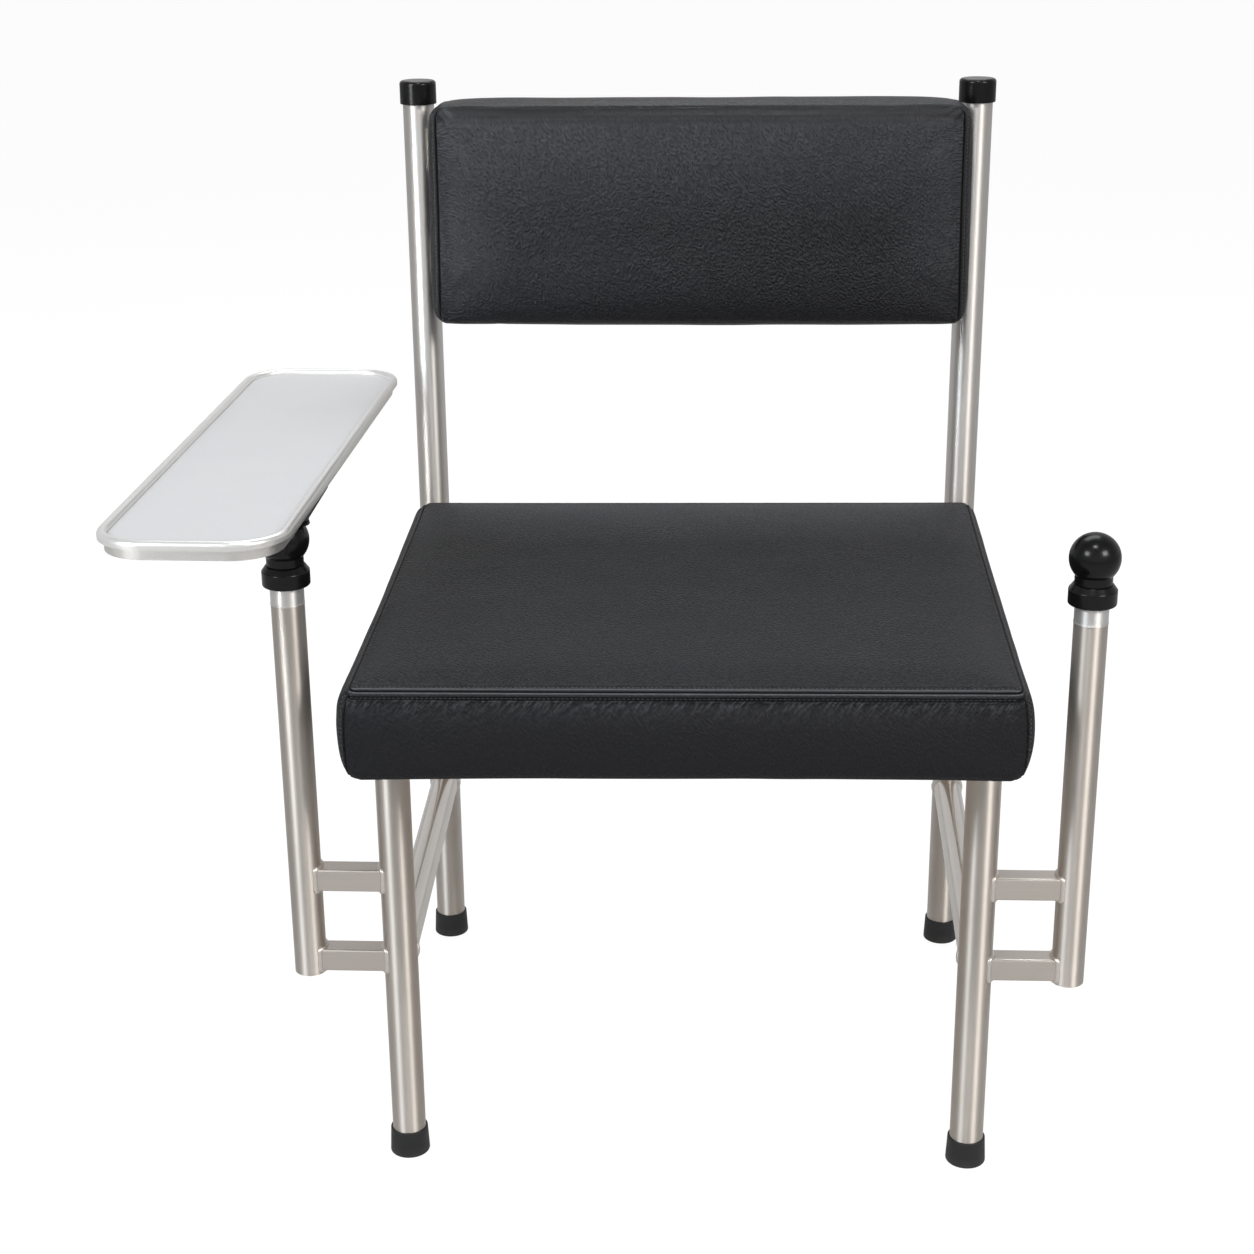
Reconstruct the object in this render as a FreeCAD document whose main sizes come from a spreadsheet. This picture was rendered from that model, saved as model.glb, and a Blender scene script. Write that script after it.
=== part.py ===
import FreeCAD, Part
import Sketcher
import math
import os
import re

# Phlebotomy chair: welded tube frame, padded seat and backrest, two arm posts
# with telescoping ball heads, and one tray armrest on the left head.
# Millimetres. The sitter faces -Y, +X is the chair's side seen on the right
# from the front, Z is up and Z = 0 is the floor.

doc = FreeCAD.newDocument("PhlebotomyChair")
sheet = doc.addObject("Spreadsheet::Sheet", "Sizes")

SIZES = [
    # where the middle of the four legs lies from the row's origin
    ("middle_x", 49.5),
    ("middle_y", 70.75),
    # main frame
    ("leg_radius", 15.0),
    ("tube_wall", 1.5),
    ("front_leg_x", 254.0),
    ("rear_leg_x", 268.0),
    ("leg_y", 213.2),
    ("leg_bottom", 6.0),
    ("front_leg_top", 418.0),
    ("upright_top", 908.0),
    ("rail_height", 25.0),
    ("rail_depth", 20.0),
    ("rail_bottom", 393.0),
    ("stretcher_radius", 14.0),
    ("stretcher_rear_z", 181.0),
    ("stretcher_front_z", 203.0),
    # arm posts
    ("post_x", 335.2),
    ("post_radius", 14.3),
    ("post_bottom", 185.0),
    ("post_top_left", 532.0),
    ("post_top_right", 520.0),
    ("link_side", 20.0),
    ("link_height", 21.0),
    ("link_low_z", 188.0),
    ("link_high_z", 266.5),
    ("bar_corner", 2.2),
    # caps and feet
    ("cap_radius", 17.5),
    ("cap_bottom", 893.5),
    ("cap_height", 22.0),
    ("foot_height", 25.0),
    ("foot_radius", 18.0),
    ("foot_rim_radius", 16.8),
    # seat
    ("seat_width", 568.0),
    ("seat_depth", 509.5),
    ("seat_bottom", 418.2),
    ("seat_height", 81.8),
    ("seat_middle_y", -57.75),
    ("cushion_edge", 12.0),
    ("board_thickness", 12.0),
    ("seat_board_width", 532.0),
    ("seat_board_depth", 470.0),
    # backrest
    ("back_middle_x", 4.0),
    ("back_width", 516.0),
    ("back_height", 209.0),
    ("back_depth", 59.5),
    ("back_bottom", 693.7),
    ("back_rear_y", 197.5),
    ("back_board_width", 470.0),
    ("back_board_height", 168.0),
    ("tab_thickness", 8.0),
    ("tab_height", 36.0),
    ("tab_width", 50.0),
    ("tab_low_z", 728.0),
    ("tab_high_z", 832.0),
    # arm heads, heights counted from the top of the post tube
    ("ring_height", 16.0),
    ("boss_radius", 13.2),
    ("bush_radius", 11.6),
    ("stem_radius", 11.0),
    ("stem_bore", 8.05),
    ("collar_radius", 20.25),
    ("collar_base", 16.3),
    ("collar_height", 17.7),
    ("neck_radius", 15.7),
    ("neck_base", 34.4),
    ("ball_radius", 21.4),
    ("ball_height", 56.0),
    ("liner_inner", 21.7),
    ("liner_outer", 23.0),
    ("socket_inner", 23.3),
    ("socket_outer", 26.5),
    ("socket_drop", 7.5),
    ("socket_rise", 28.5),
    ("socket_opening", 7.5),
    ("boss_outer", 22.0),
    ("plate_thickness", 3.0),
    # tray
    ("tray_x", -374.1),
    ("tray_y", -86.0),
    ("tray_yaw", -1.3),
    ("tray_width", 152.0),
    ("tray_length", 572.0),
    ("tray_corner", 43.0),
    ("bead_width", 8.0),
    ("bead_height", 7.0),
    ("band_inset", 5.0),
    ("band_height", 9.3),
    ("band_bottom", 619.5),
    ("sheet_gauge", 1.5),
    ("panel_thickness", 2.5),
]
D = dict(SIZES)
for row, (alias, number) in enumerate(SIZES, start=1):
    sheet.set("A%d" % row, alias.replace("_", " "))
    sheet.set("B%d" % row, str(number))
    sheet.setAlias("B%d" % row, alias)
doc.recompute()

TERM = re.compile(r"([+-]?)\s*(?:([0-9.]+)\s*\*\s*)?([A-Za-z_]\w*|[0-9.]+)")


def value(text):
    """Number of a sum of cells and numbers, such as '2 * tube_wall + 3'."""
    total = 0.0
    for sign, factor, term in TERM.findall(str(text)):
        number = D[term] if term in D else float(term)
        total += (-1.0 if sign == "-" else 1.0) * float(factor or 1.0) * number
    return total


def bound(text):
    """The same sum as an expression on the spreadsheet."""
    return re.sub(r"[A-Za-z_]\w*", lambda m: "Sizes." + m.group(0), str(text))


def bind(obj, prop, text):
    obj.setExpression(prop, bound(text))


def place(obj, x, y, z, rotation=None):
    rotation = rotation or FreeCAD.Rotation()
    obj.Placement = FreeCAD.Placement(FreeCAD.Vector(value(x), value(y), value(z)), rotation)
    bind(obj, "Placement.Base.x", x)
    bind(obj, "Placement.Base.y", y)
    bind(obj, "Placement.Base.z", z)
    return obj


def plane(body, role):
    for feature in body.Origin.OriginFeatures:
        if feature.Role == role:
            return feature
    raise RuntimeError(role)


def new_sketch(body, name, role):
    sketch = body.newObject("Sketcher::SketchObject", name)
    sketch.AttachmentSupport = (plane(body, role), [""])
    sketch.MapMode = "FlatFace"
    return sketch


def constrain(sketch, kind, args, text, name):
    index = sketch.addConstraint(Sketcher.Constraint(kind, *args, value(text)))
    sketch.renameConstraint(index, name)
    bind(sketch, "Constraints." + name, text)


def polygon(sketch, points):
    """Closed profile whose corners are each held at their two distances."""
    n = len(points)
    vec = [FreeCAD.Vector(value(a), value(b), 0) for a, b in points]
    for i in range(n):
        sketch.addGeometry(Part.LineSegment(vec[i], vec[(i + 1) % n]), False)
    for i in range(n):
        sketch.addConstraint(Sketcher.Constraint("Coincident", i, 2, (i + 1) % n, 1))
    for i, (a, b) in enumerate(points):
        if abs(value(a)) < 1e-9:
            sketch.addConstraint(Sketcher.Constraint("PointOnObject", i, 1, -2))
        else:
            constrain(sketch, "DistanceX", (-1, 1, i, 1), a, "across%d" % i)
        if abs(value(b)) < 1e-9:
            sketch.addConstraint(Sketcher.Constraint("PointOnObject", i, 1, -1))
        else:
            constrain(sketch, "DistanceY", (-1, 1, i, 1), b, "along%d" % i)


def rectangle(sketch, width, length):
    """Rectangle centred on the sketch's origin."""
    w, k = value(width) / 2, value(length) / 2
    corners = [FreeCAD.Vector(-w, -k, 0), FreeCAD.Vector(w, -k, 0), FreeCAD.Vector(w, k, 0), FreeCAD.Vector(-w, k, 0)]
    for i in range(4):
        sketch.addGeometry(Part.LineSegment(corners[i], corners[(i + 1) % 4]), False)
    for i in range(4):
        sketch.addConstraint(Sketcher.Constraint("Coincident", i, 2, (i + 1) % 4, 1))
    sketch.addConstraint(Sketcher.Constraint("Horizontal", 0))
    sketch.addConstraint(Sketcher.Constraint("Horizontal", 2))
    sketch.addConstraint(Sketcher.Constraint("Vertical", 1))
    sketch.addConstraint(Sketcher.Constraint("Vertical", 3))
    sketch.addConstraint(Sketcher.Constraint("Symmetric", 0, 1, 2, 1, -1, 1))
    constrain(sketch, "DistanceX", (0, 1, 0, 2), width, "width")
    constrain(sketch, "DistanceY", (1, 1, 1, 2), length, "length")


def rounded_rectangle(sketch, width, length, corner):
    """Centred rectangle with an arc at each corner."""
    w, k, c = value(width) / 2, value(length) / 2, value(corner)
    up = FreeCAD.Vector(0, 0, 1)
    centres = [(w - c, -(k - c), -90), (w - c, k - c, 0), (-(w - c), k - c, 90), (-(w - c), -(k - c), 180)]
    sides = [((-(w - c), -k), (w - c, -k)), ((w, -(k - c)), (w, k - c)), ((w - c, k), (-(w - c), k)), ((-w, k - c), (-w, -(k - c)))]
    for p, q in sides:
        sketch.addGeometry(Part.LineSegment(FreeCAD.Vector(p[0], p[1], 0), FreeCAD.Vector(q[0], q[1], 0)), False)
    for x, y, start in centres:
        circle = Part.Circle(FreeCAD.Vector(x, y, 0), up, c)
        sketch.addGeometry(Part.ArcOfCircle(circle, math.radians(start), math.radians(start + 90)), False)
    for i in range(4):
        sketch.addConstraint(Sketcher.Constraint("Tangent", i, 2, 4 + i, 1))
        sketch.addConstraint(Sketcher.Constraint("Tangent", 4 + i, 2, (i + 1) % 4, 1))
    for i in range(1, 4):
        sketch.addConstraint(Sketcher.Constraint("Equal", 4, 4 + i))
    sketch.addConstraint(Sketcher.Constraint("Horizontal", 0))
    sketch.addConstraint(Sketcher.Constraint("Vertical", 1))
    sketch.addConstraint(Sketcher.Constraint("Horizontal", 2))
    sketch.addConstraint(Sketcher.Constraint("Vertical", 3))
    sketch.addConstraint(Sketcher.Constraint("Symmetric", 4, 3, 6, 3, -1, 1))
    constrain(sketch, "Radius", (4,), corner, "corner")
    constrain(sketch, "DistanceX", (7, 3, 4, 3), "%s - 2 * %s" % (width, corner) if simple(width, corner) else repr(2 * (w - c)), "across")
    constrain(sketch, "DistanceY", (4, 3, 5, 3), "%s - 2 * %s" % (length, corner) if simple(length, corner) else repr(2 * (k - c)), "along")


def simple(*texts):
    return all(re.fullmatch(r"[A-Za-z_]\w*", str(text)) for text in texts)


def edge_names(shape, test):
    return ["Edge%d" % (i + 1) for i, e in enumerate(shape.Edges) if test(e)]


def ring_at(z, radius):
    def test(edge):
        c = edge.Curve
        return isinstance(c, Part.Circle) and abs(c.Center.z - z) < 0.01 and abs(c.Radius - radius) < 0.01
    return test


def upright_edge(edge):
    c = edge.Curve
    return isinstance(c, Part.Line) and abs(abs(c.Direction.z) - 1) < 1e-6


def body_of(label):
    body = doc.addObject("PartDesign::Body", label)
    body.Label = label
    return body


def fillet(body, base, edges, radius, name="Round"):
    feature = body.newObject("PartDesign::Fillet", name)
    feature.Base = (base, edges)
    bind(feature, "Radius", radius)
    body.Tip = feature
    doc.recompute()
    return feature


def turned(label, points, rounds=()):
    """Solid of revolution about its own Z axis; rounds: (z, radius, fillet)."""
    body = body_of(label)
    sketch = new_sketch(body, "Profile", "XZ_Plane")
    polygon(sketch, points)
    turn = body.newObject("PartDesign::Revolution", "Turn")
    turn.Profile = sketch
    turn.ReferenceAxis = (sketch, ["V_Axis"])
    turn.Angle = 360.0
    body.Tip = turn
    doc.recompute()
    last = turn
    for z, radius, size in rounds:
        names = edge_names(last.Shape, ring_at(value(z), value(radius)))
        last = fillet(body, last, names, size)
    return body


def tube(label, outer, inner, length):
    body = body_of(label)
    sketch = new_sketch(body, "Ring", "XY_Plane")
    for i, radius in enumerate((outer, inner)):
        sketch.addGeometry(Part.Circle(FreeCAD.Vector(0, 0, 0), FreeCAD.Vector(0, 0, 1), value(radius)), False)
        sketch.addConstraint(Sketcher.Constraint("Coincident", i, 3, -1, 1))
        constrain(sketch, "Radius", (i,), radius, "radius%d" % i)
    pad = body.newObject("PartDesign::Pad", "Pad")
    pad.Profile = sketch
    bind(pad, "Length", length)
    body.Tip = pad
    doc.recompute()
    return body


def rounded_block(label, width, length, height, corner, inner=None, pocket=None, top_rounds=()):
    """Upright block with rounded corners; inner: (width, length, corner) of a
    pocket sunk from the top by pocket; top_rounds: (which, size)."""
    body = body_of(label)
    sketch = new_sketch(body, "Outline", "XY_Plane")
    rectangle(sketch, width, length)
    pad = body.newObject("PartDesign::Pad", "Pad")
    pad.Profile = sketch
    bind(pad, "Length", height)
    body.Tip = pad
    doc.recompute()
    last = pad
    if corner is not None:
        last = fillet(body, pad, edge_names(pad.Shape, upright_edge), corner, "Corners")
    if inner:
        inside = new_sketch(body, "Inside", "XY_Plane")
        inside.AttachmentOffset = FreeCAD.Placement(FreeCAD.Vector(0, 0, value(height)), FreeCAD.Rotation())
        bind(inside, "AttachmentOffset.Base.z", height)
        rounded_rectangle(inside, inner[0], inner[1], inner[2])
        sink = body.newObject("PartDesign::Pocket", "Sink")
        sink.Profile = inside
        bind(sink, "Length", pocket)
        body.Tip = sink
        doc.recompute()
        last = sink
    top = value(height)
    for which, size in top_rounds:
        def on_loop(e):
            box = e.BoundBox
            if abs(box.ZMin - top) > 0.01 or abs(box.ZMax - top) > 0.01:
                return False
            return True
        names = []
        for i, e in enumerate(last.Shape.Edges):
            if not on_loop(e):
                continue
            is_outer = nearer_outside(e, value(width), value(length), value("bead_width"))
            if is_outer == (which == "outer"):
                names.append("Edge%d" % (i + 1))
        last = fillet(body, last, names, size, "Top" + which.capitalize())
    return body


def nearer_outside(edge, width, length, band):
    """True when the edge's mid point is nearer the outer outline than the inner."""
    p = edge.valueAt((edge.FirstParameter + edge.LastParameter) / 2)
    corner = D["tray_corner"]
    qx = max(abs(p.x) - (width / 2 - corner), 0.0)
    qy = max(abs(p.y) - (length / 2 - corner), 0.0)
    if qx > 0 and qy > 0:
        gap = corner - math.hypot(qx, qy)
    else:
        gap = min(width / 2 - abs(p.x), length / 2 - abs(p.y))
    return gap < band / 2


def cushion(label, width, length, height, edge, board_width, board_length, board_depth):
    """Padded block with every edge rounded and a seat for its board below."""
    body = body_of(label)
    sketch = new_sketch(body, "Outline", "XY_Plane")
    rectangle(sketch, width, length)
    pad = body.newObject("PartDesign::Pad", "Pad")
    pad.Profile = sketch
    bind(pad, "Length", height)
    body.Tip = pad
    doc.recompute()
    last = fillet(body, pad, edge_names(pad.Shape, lambda e: True), edge, "Edges")
    seat = new_sketch(body, "BoardSeat", "XY_Plane")
    rectangle(seat, board_width, board_length)
    sink = body.newObject("PartDesign::Pocket", "BoardPocket")
    sink.Profile = seat
    sink.Reversed = True
    bind(sink, "Length", board_depth)
    body.Tip = sink
    doc.recompute()
    return body


def box(name, width, depth, height, x, y, z, rotation=None):
    """Box centred on x and y and standing on z (before any rotation)."""
    item = doc.addObject("Part::Box", name)
    bind(item, "Length", width)
    bind(item, "Width", depth)
    bind(item, "Height", height)
    half_w, half_d = value(width) / 2, value(depth) / 2
    if rotation is None:
        place(item, "%s - %s" % (x, halved(width)), "%s - %s" % (y, halved(depth)), z)
    else:
        shift = rotation.multVec(FreeCAD.Vector(-half_w, -half_d, 0))
        item.Placement = FreeCAD.Placement(
            FreeCAD.Vector(value(x), value(y), value(z)) + shift, rotation)
    return item


def halved(text):
    """Half of a single cell or of a number, ready to be subtracted."""
    text = str(text)
    if re.fullmatch(r"[0-9.]+", text):
        return repr(float(text) / 2)
    if re.fullmatch(r"[A-Za-z_]\w*", text):
        return "0.5 * " + text
    return repr(value(text) / 2)


def rod(name, radius, height, x, y, z, rotation=None):
    item = doc.addObject("Part::Cylinder", name)
    bind(item, "Radius", radius)
    bind(item, "Height", height)
    place(item, x, y, z, rotation)
    return item


def globe(name, radius, x, y, z):
    item = doc.addObject("Part::Sphere", name)
    bind(item, "Radius", radius)
    place(item, x, y, z)
    return item


def cut(label, base, *tools):
    tool = tools[0]
    if len(tools) > 1:
        tool = doc.addObject("Part::MultiFuse", label + "_tools")
        tool.Shapes = list(tools)
    item = doc.addObject("Part::Cut", label)
    item.Base = base
    item.Tool = tool
    item.Label = label
    return item


def fuse(label, *items):
    item = doc.addObject("Part::MultiFuse", label)
    item.Shapes = list(items)
    item.Label = label
    return item


def group(label, *items):
    item = doc.addObject("Part::Compound", label)
    item.Links = list(items)
    item.Label = label
    return item


def section_bar(label, width, height, length, x, y, z, turn):
    """Hollow bar with rounded corners that starts at x, y, z and runs along turn's Z axis."""
    bar = rounded_block(label, width, height, length, "bar_corner",
                        (width + " - 2 * tube_wall", height + " - 2 * tube_wall", "0.8"), length)
    return place(bar, x, y, z, turn)


nodes = []


def keep(obj):
    nodes.append(obj)
    return obj


SIDES = (("left", "middle_x - "), ("right", "middle_x + "))
ALONG_X = FreeCAD.Rotation(FreeCAD.Vector(0, 1, 0), 90)
ALONG_Y = FreeCAD.Rotation(FreeCAD.Vector(1, 0, 0), -90)
FACE_FRONT = FreeCAD.Rotation(FreeCAD.Vector(1, 0, 0), 90)
FRONT = "middle_y - leg_y"
REAR = "middle_y + leg_y"
SEAT_SCREWS = (("front", "257.6", "middle_y - 110"), ("rear", "261.0", "middle_y + 90"))

# ---------------------------------------------------------------- main frame
for side, to in SIDES:
    sign = -1.0 if side == "left" else 1.0
    leg = keep(tube("front_leg_" + side, "leg_radius", "leg_radius - tube_wall", "front_leg_top - leg_bottom"))
    place(leg, to + "front_leg_x", FRONT, "leg_bottom")
    upright = keep(tube("rear_upright_" + side, "leg_radius", "leg_radius - tube_wall", "upright_top - leg_bottom"))
    place(upright, to + "rear_leg_x", REAR, "leg_bottom")

    # cap: cup pushed over the tube, with a rounded crown
    cap = keep(turned("upright_cap_" + side,
                      [("leg_radius", "0"), ("cap_radius", "0"), ("cap_radius", "cap_height"),
                       ("0", "cap_height"), ("0", "upright_top - cap_bottom"), ("leg_radius", "upright_top - cap_bottom")],
                      [("cap_height", "cap_radius", "3.2"), ("0", "cap_radius", "0.6")]))
    place(cap, to + "rear_leg_x", REAR, "cap_bottom")

    # feet: conical ferrules the tube stands in
    for where, x, y in (("front", "front_leg_x", FRONT), ("rear", "rear_leg_x", REAR)):
        foot = keep(turned("foot_%s_%s" % (where, side),
                           [("0", "0"), ("foot_radius", "0"), ("foot_rim_radius", "foot_height"),
                            ("leg_radius", "foot_height"), ("leg_radius", "leg_bottom"), ("0", "leg_bottom")],
                           [("0", "foot_radius", "1.5"), ("foot_height", "foot_rim_radius", "0.9")]))
        place(foot, to + x, y, "0")

    # side stretcher, mitred to both tubes
    start = FreeCAD.Vector(sign * D["rear_leg_x"], D["leg_y"], D["stretcher_rear_z"])
    end = FreeCAD.Vector(sign * D["front_leg_x"], -D["leg_y"], D["stretcher_front_z"])
    run = end - start
    bar = tube("stretcher_stock_" + side, "stretcher_radius", "stretcher_radius - tube_wall", repr(round(run.Length, 3)))
    place(bar, to + "rear_leg_x", REAR, "stretcher_rear_z", FreeCAD.Rotation(FreeCAD.Vector(0, 0, 1), run))
    keep(cut("side_stretcher_" + side, bar,
             rod("stretcher_mitre_rear_" + side, "leg_radius", "120", to + "rear_leg_x", REAR, "stretcher_rear_z - 60"),
             rod("stretcher_mitre_front_" + side, "leg_radius", "120", to + "front_leg_x", FRONT, "stretcher_front_z - 60")))

    # side rail under the seat, box section, mitred to both tubes
    yaw = math.degrees(math.atan2(-run.x, -run.y))
    turn = FreeCAD.Rotation(FreeCAD.Vector(0, 0, 1), -yaw)
    length = repr(round(math.hypot(run.x, run.y), 3))
    outer = section_bar("rail_stock_" + side, "rail_depth", "rail_height", length, to + "front_leg_x", FRONT,
                        "rail_bottom + 0.5 * rail_height", turn.multiply(ALONG_Y))
    holes = [rod("rail_hole_%s_%s" % (side, w), "3.0", "40", to + x, y, "rail_bottom - 5")
             for w, x, y in SEAT_SCREWS]
    keep(cut("seat_rail_" + side, outer,
             rod("rail_mitre_front_" + side, "leg_radius", "60", to + "front_leg_x", FRONT, "rail_bottom - 10"),
             rod("rail_mitre_rear_" + side, "leg_radius", "60", to + "rear_leg_x", REAR, "rail_bottom - 10"), *holes))

# front and rear rails
for where, x, y in (("front", "front_leg_x", FRONT), ("rear", "rear_leg_x", REAR)):
    outer = section_bar("rail_stock_" + where, "rail_height", "rail_depth", "2 * " + x, "middle_x - " + x, y,
                        "rail_bottom + 0.5 * rail_height", ALONG_X)
    tools = []
    for side, to in SIDES:
        tools.append(rod("rail_mitre_%s_%s_end" % (where, side), "leg_radius", "60", to + x, y, "rail_bottom - 10"))
    keep(cut("seat_rail_" + where, outer, *tools))

# ---------------------------------------------------------------- arm posts
for side, to in SIDES:
    sign = -1.0 if side == "left" else 1.0
    top = "post_top_" + side
    post = keep(tube("arm_post_" + side, "post_radius", "post_radius - tube_wall", top + " - post_bottom"))
    place(post, to + "post_x", FRONT, "post_bottom")
    disc = keep(rod("post_end_disc_" + side, "post_radius - tube_wall", "2.0", to + "post_x", FRONT, "post_bottom"))
    disc.Label = "post_end_disc_" + side
    for level in ("low", "high"):
        z = "link_%s_z" % level
        outer = section_bar("link_stock_%s_%s" % (level, side), "link_height", "link_side", "post_x - front_leg_x",
                            "middle_x - post_x" if side == "left" else "middle_x + front_leg_x", FRONT,
                            z + " + 0.5 * link_height", ALONG_X)
        tools = [rod("link_mitre_leg_%s_%s" % (level, side), "leg_radius", "80", to + "front_leg_x", FRONT, z + " - 20"),
                 rod("link_mitre_post_%s_%s" % (level, side), "post_radius", "80", to + "post_x", FRONT, z + " - 20")]
        if level == "low":
            # notched round the side stretcher that meets the same leg
            run = (FreeCAD.Vector(sign * D["front_leg_x"], -D["leg_y"], D["stretcher_front_z"])
                   - FreeCAD.Vector(sign * D["rear_leg_x"], D["leg_y"], D["stretcher_rear_z"]))
            tools.append(rod("link_notch_" + side, "stretcher_radius + 0.05", repr(round(run.Length, 3)),
                             to + "rear_leg_x", REAR, "stretcher_rear_z", FreeCAD.Rotation(FreeCAD.Vector(0, 0, 1), run)))
        keep(cut("post_link_%s_%s" % (level, side), outer, *tools))

    # ring pressed in the post's mouth, with the collar's boss on top
    ring = keep(turned("post_ring_" + side,
                       [("bush_radius", "0"), ("post_radius - tube_wall", "0"), ("post_radius - tube_wall", "24"),
                        ("post_radius + 0.35", "24"), ("post_radius + 0.35", "24.9"), ("post_radius", "25.2"),
                        ("post_radius", "24 + ring_height"), ("boss_radius", "24 + ring_height"),
                        ("boss_radius", "38 + ring_height"), ("bush_radius", "38 + ring_height")]))
    place(ring, to + "post_x", FRONT, top + " - 24")
    bush = keep(turned("clamp_bush_" + side,
                       [("stem_radius + 0.05", "0"), ("bush_radius", "0"), ("bush_radius", "38 + ring_height"),
                        ("stem_radius + 0.05", "38 + ring_height")]))
    place(bush, to + "post_x", FRONT, top + " - 24")

    # lock collar over the boss
    collar = keep(turned("lock_collar_" + side,
                         [("boss_radius + 0.1", "0"), ("collar_radius", "0"), ("collar_radius", "collar_height - 4.8"),
                          ("collar_radius - 3.6", "collar_height"), ("stem_radius + 0.3", "collar_height"),
                          ("stem_radius + 0.3", "14.2"), ("boss_radius + 0.1", "14.2")],
                         [("collar_height - 4.8", "collar_radius", "1.6"), ("collar_height", "collar_radius - 3.6", "0.5"),
                          ("0", "collar_radius", "1.6")]))
    place(collar, to + "post_x", FRONT, top + " + collar_base")

    # telescoping stem with its stop ring
    stem = keep(turned("arm_stem_" + side,
                       [("stem_bore", "0"), ("12.45", "0"), ("12.45", "6"), ("stem_radius", "6"),
                        ("stem_radius", "166.1"), ("stem_bore", "166.1")]))
    place(stem, to + "post_x", FRONT, top + " - 132")

    # ball stud: spigot in the stem, neck, ball
    keep(fuse("ball_stud_" + side,
              rod("stud_spigot_" + side, "8.0", "30", to + "post_x", FRONT, top + " + neck_base - 28"),
              rod("stud_neck_" + side, "neck_radius", "14", to + "post_x", FRONT, top + " + neck_base"),
              globe("stud_ball_" + side, "ball_radius", to + "post_x", FRONT, top + " + ball_height")))

# ---------------------------------------------------------------- seat
SEAT_Y = "middle_y + seat_middle_y"
board_stock = box("seat_board_stock", "seat_board_width", "seat_board_depth", "board_thickness", "middle_x", SEAT_Y, "seat_bottom")
board_holes = [rod("seat_board_hole_%s_%s" % (side, w), "3.0", "9.8", to + x, y, "seat_bottom")
               for side, to in SIDES for w, x, y in SEAT_SCREWS]
keep(cut("seat_board", board_stock, *board_holes))
seat = keep(cushion("seat_cushion", "seat_width", "seat_depth", "seat_height", "cushion_edge",
                    "seat_board_width", "seat_board_depth", "board_thickness"))
place(seat, "middle_x", SEAT_Y, "seat_bottom")
seat_screws = []
for side, to in SIDES:
    for w, x, y in SEAT_SCREWS:
        seat_screws.append(fuse("seat_screw_%s_%s" % (w, side),
                                rod("seat_screw_shank_%s_%s" % (w, side), "3.0", "seat_bottom - rail_bottom + 9.8", to + x, y, "rail_bottom"),
                                rod("seat_screw_head_%s_%s" % (w, side), "6.0", "4.0", to + x, y, "rail_bottom - 4")))
keep(group("seat_screws", *seat_screws))

# ---------------------------------------------------------------- backrest
back = keep(cushion("back_cushion", "back_width", "back_height", "back_depth", "cushion_edge",
                    "back_board_width", "back_board_height", "board_thickness"))
place(back, "middle_x + back_middle_x", "middle_y + back_rear_y", "back_bottom + 0.5 * back_height", FACE_FRONT)
back_board_stock = box("back_board_stock", "back_board_width", "board_thickness", "back_board_height",
                       "middle_x + back_middle_x", "middle_y + back_rear_y - 0.5 * board_thickness",
                       "back_bottom + 0.5 * back_height - 0.5 * back_board_height")
back_holes = []
back_screws = []
TAB_X = "220.0"
for side, to in SIDES:
    for level in ("low", "high"):
        z = "tab_%s_z" % level
        mid = to + "231.5"
        stock = box("tab_stock_%s_%s" % (level, side), "tab_width", "tab_thickness", "tab_height",
                    mid, "middle_y + back_rear_y + 0.5 * tab_thickness", z)
        tube_cut = rod("tab_mitre_%s_%s" % (level, side), "leg_radius", "90", to + "rear_leg_x", REAR, z + " - 20")
        spots = [("lower", z + " + 10"), ("upper", z + " + tab_height - 10")]
        holes = [rod("tab_hole_%s_%s_%s" % (level, side, s), "2.5", "20", to + TAB_X, "middle_y + back_rear_y - 8", h, ALONG_Y)
                 for s, h in spots]
        keep(cut("back_tab_%s_%s" % (level, side), stock, tube_cut, *holes))
        for s, h in spots:
            back_holes.append(rod("back_board_hole_%s_%s_%s" % (level, side, s), "2.5", "10",
                                  to + TAB_X, "middle_y + back_rear_y - 9.8", h, ALONG_Y))
            back_screws.append(fuse("back_screw_%s_%s_%s" % (level, side, s),
                                    rod("back_screw_shank_%s_%s_%s" % (level, side, s), "2.5", "9.8 + tab_thickness",
                                        to + TAB_X, "middle_y + back_rear_y - 9.8", h, ALONG_Y),
                                    rod("back_screw_head_%s_%s_%s" % (level, side, s), "5.0", "3.0",
                                        to + TAB_X, "middle_y + back_rear_y + tab_thickness", h, ALONG_Y)))
keep(cut("back_board", back_board_stock, *back_holes))
keep(group("back_screws", *back_screws))

# ---------------------------------------------------------------- armrest socket
BALL_X = "middle_x - post_x"
BALL_Z = "post_top_left + ball_height"


def opening(name):
    """Slanted block that clears the outboard third of the ball."""
    tilt = FreeCAD.Rotation(FreeCAD.Vector(0, 1, 0), 15)
    item = doc.addObject("Part::Box", name)
    item.Length, item.Width, item.Height = 60, 80, 49
    corner = FreeCAD.Vector(value(BALL_X), value(FRONT), value(BALL_Z)) + tilt.multVec(FreeCAD.Vector(D["socket_opening"], -40, -30))
    item.Placement = FreeCAD.Placement(corner, tilt)
    return item


def half_space(name, y_from):
    return box(name, "90", "45", "90", BALL_X, "%s + %s" % (FRONT, y_from) if not y_from.startswith("-") else "%s - %s" % (FRONT, y_from[1:]),
               BALL_Z + " - 40")


keep(cut("ball_liner", globe("liner_skin", "liner_outer", BALL_X, FRONT, BALL_Z),
         globe("liner_hollow", "liner_inner", BALL_X, FRONT, BALL_Z),
         box("liner_floor", "90", "90", "60", BALL_X, FRONT, BALL_Z + " - socket_drop - 60"), opening("liner_opening")))

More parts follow.
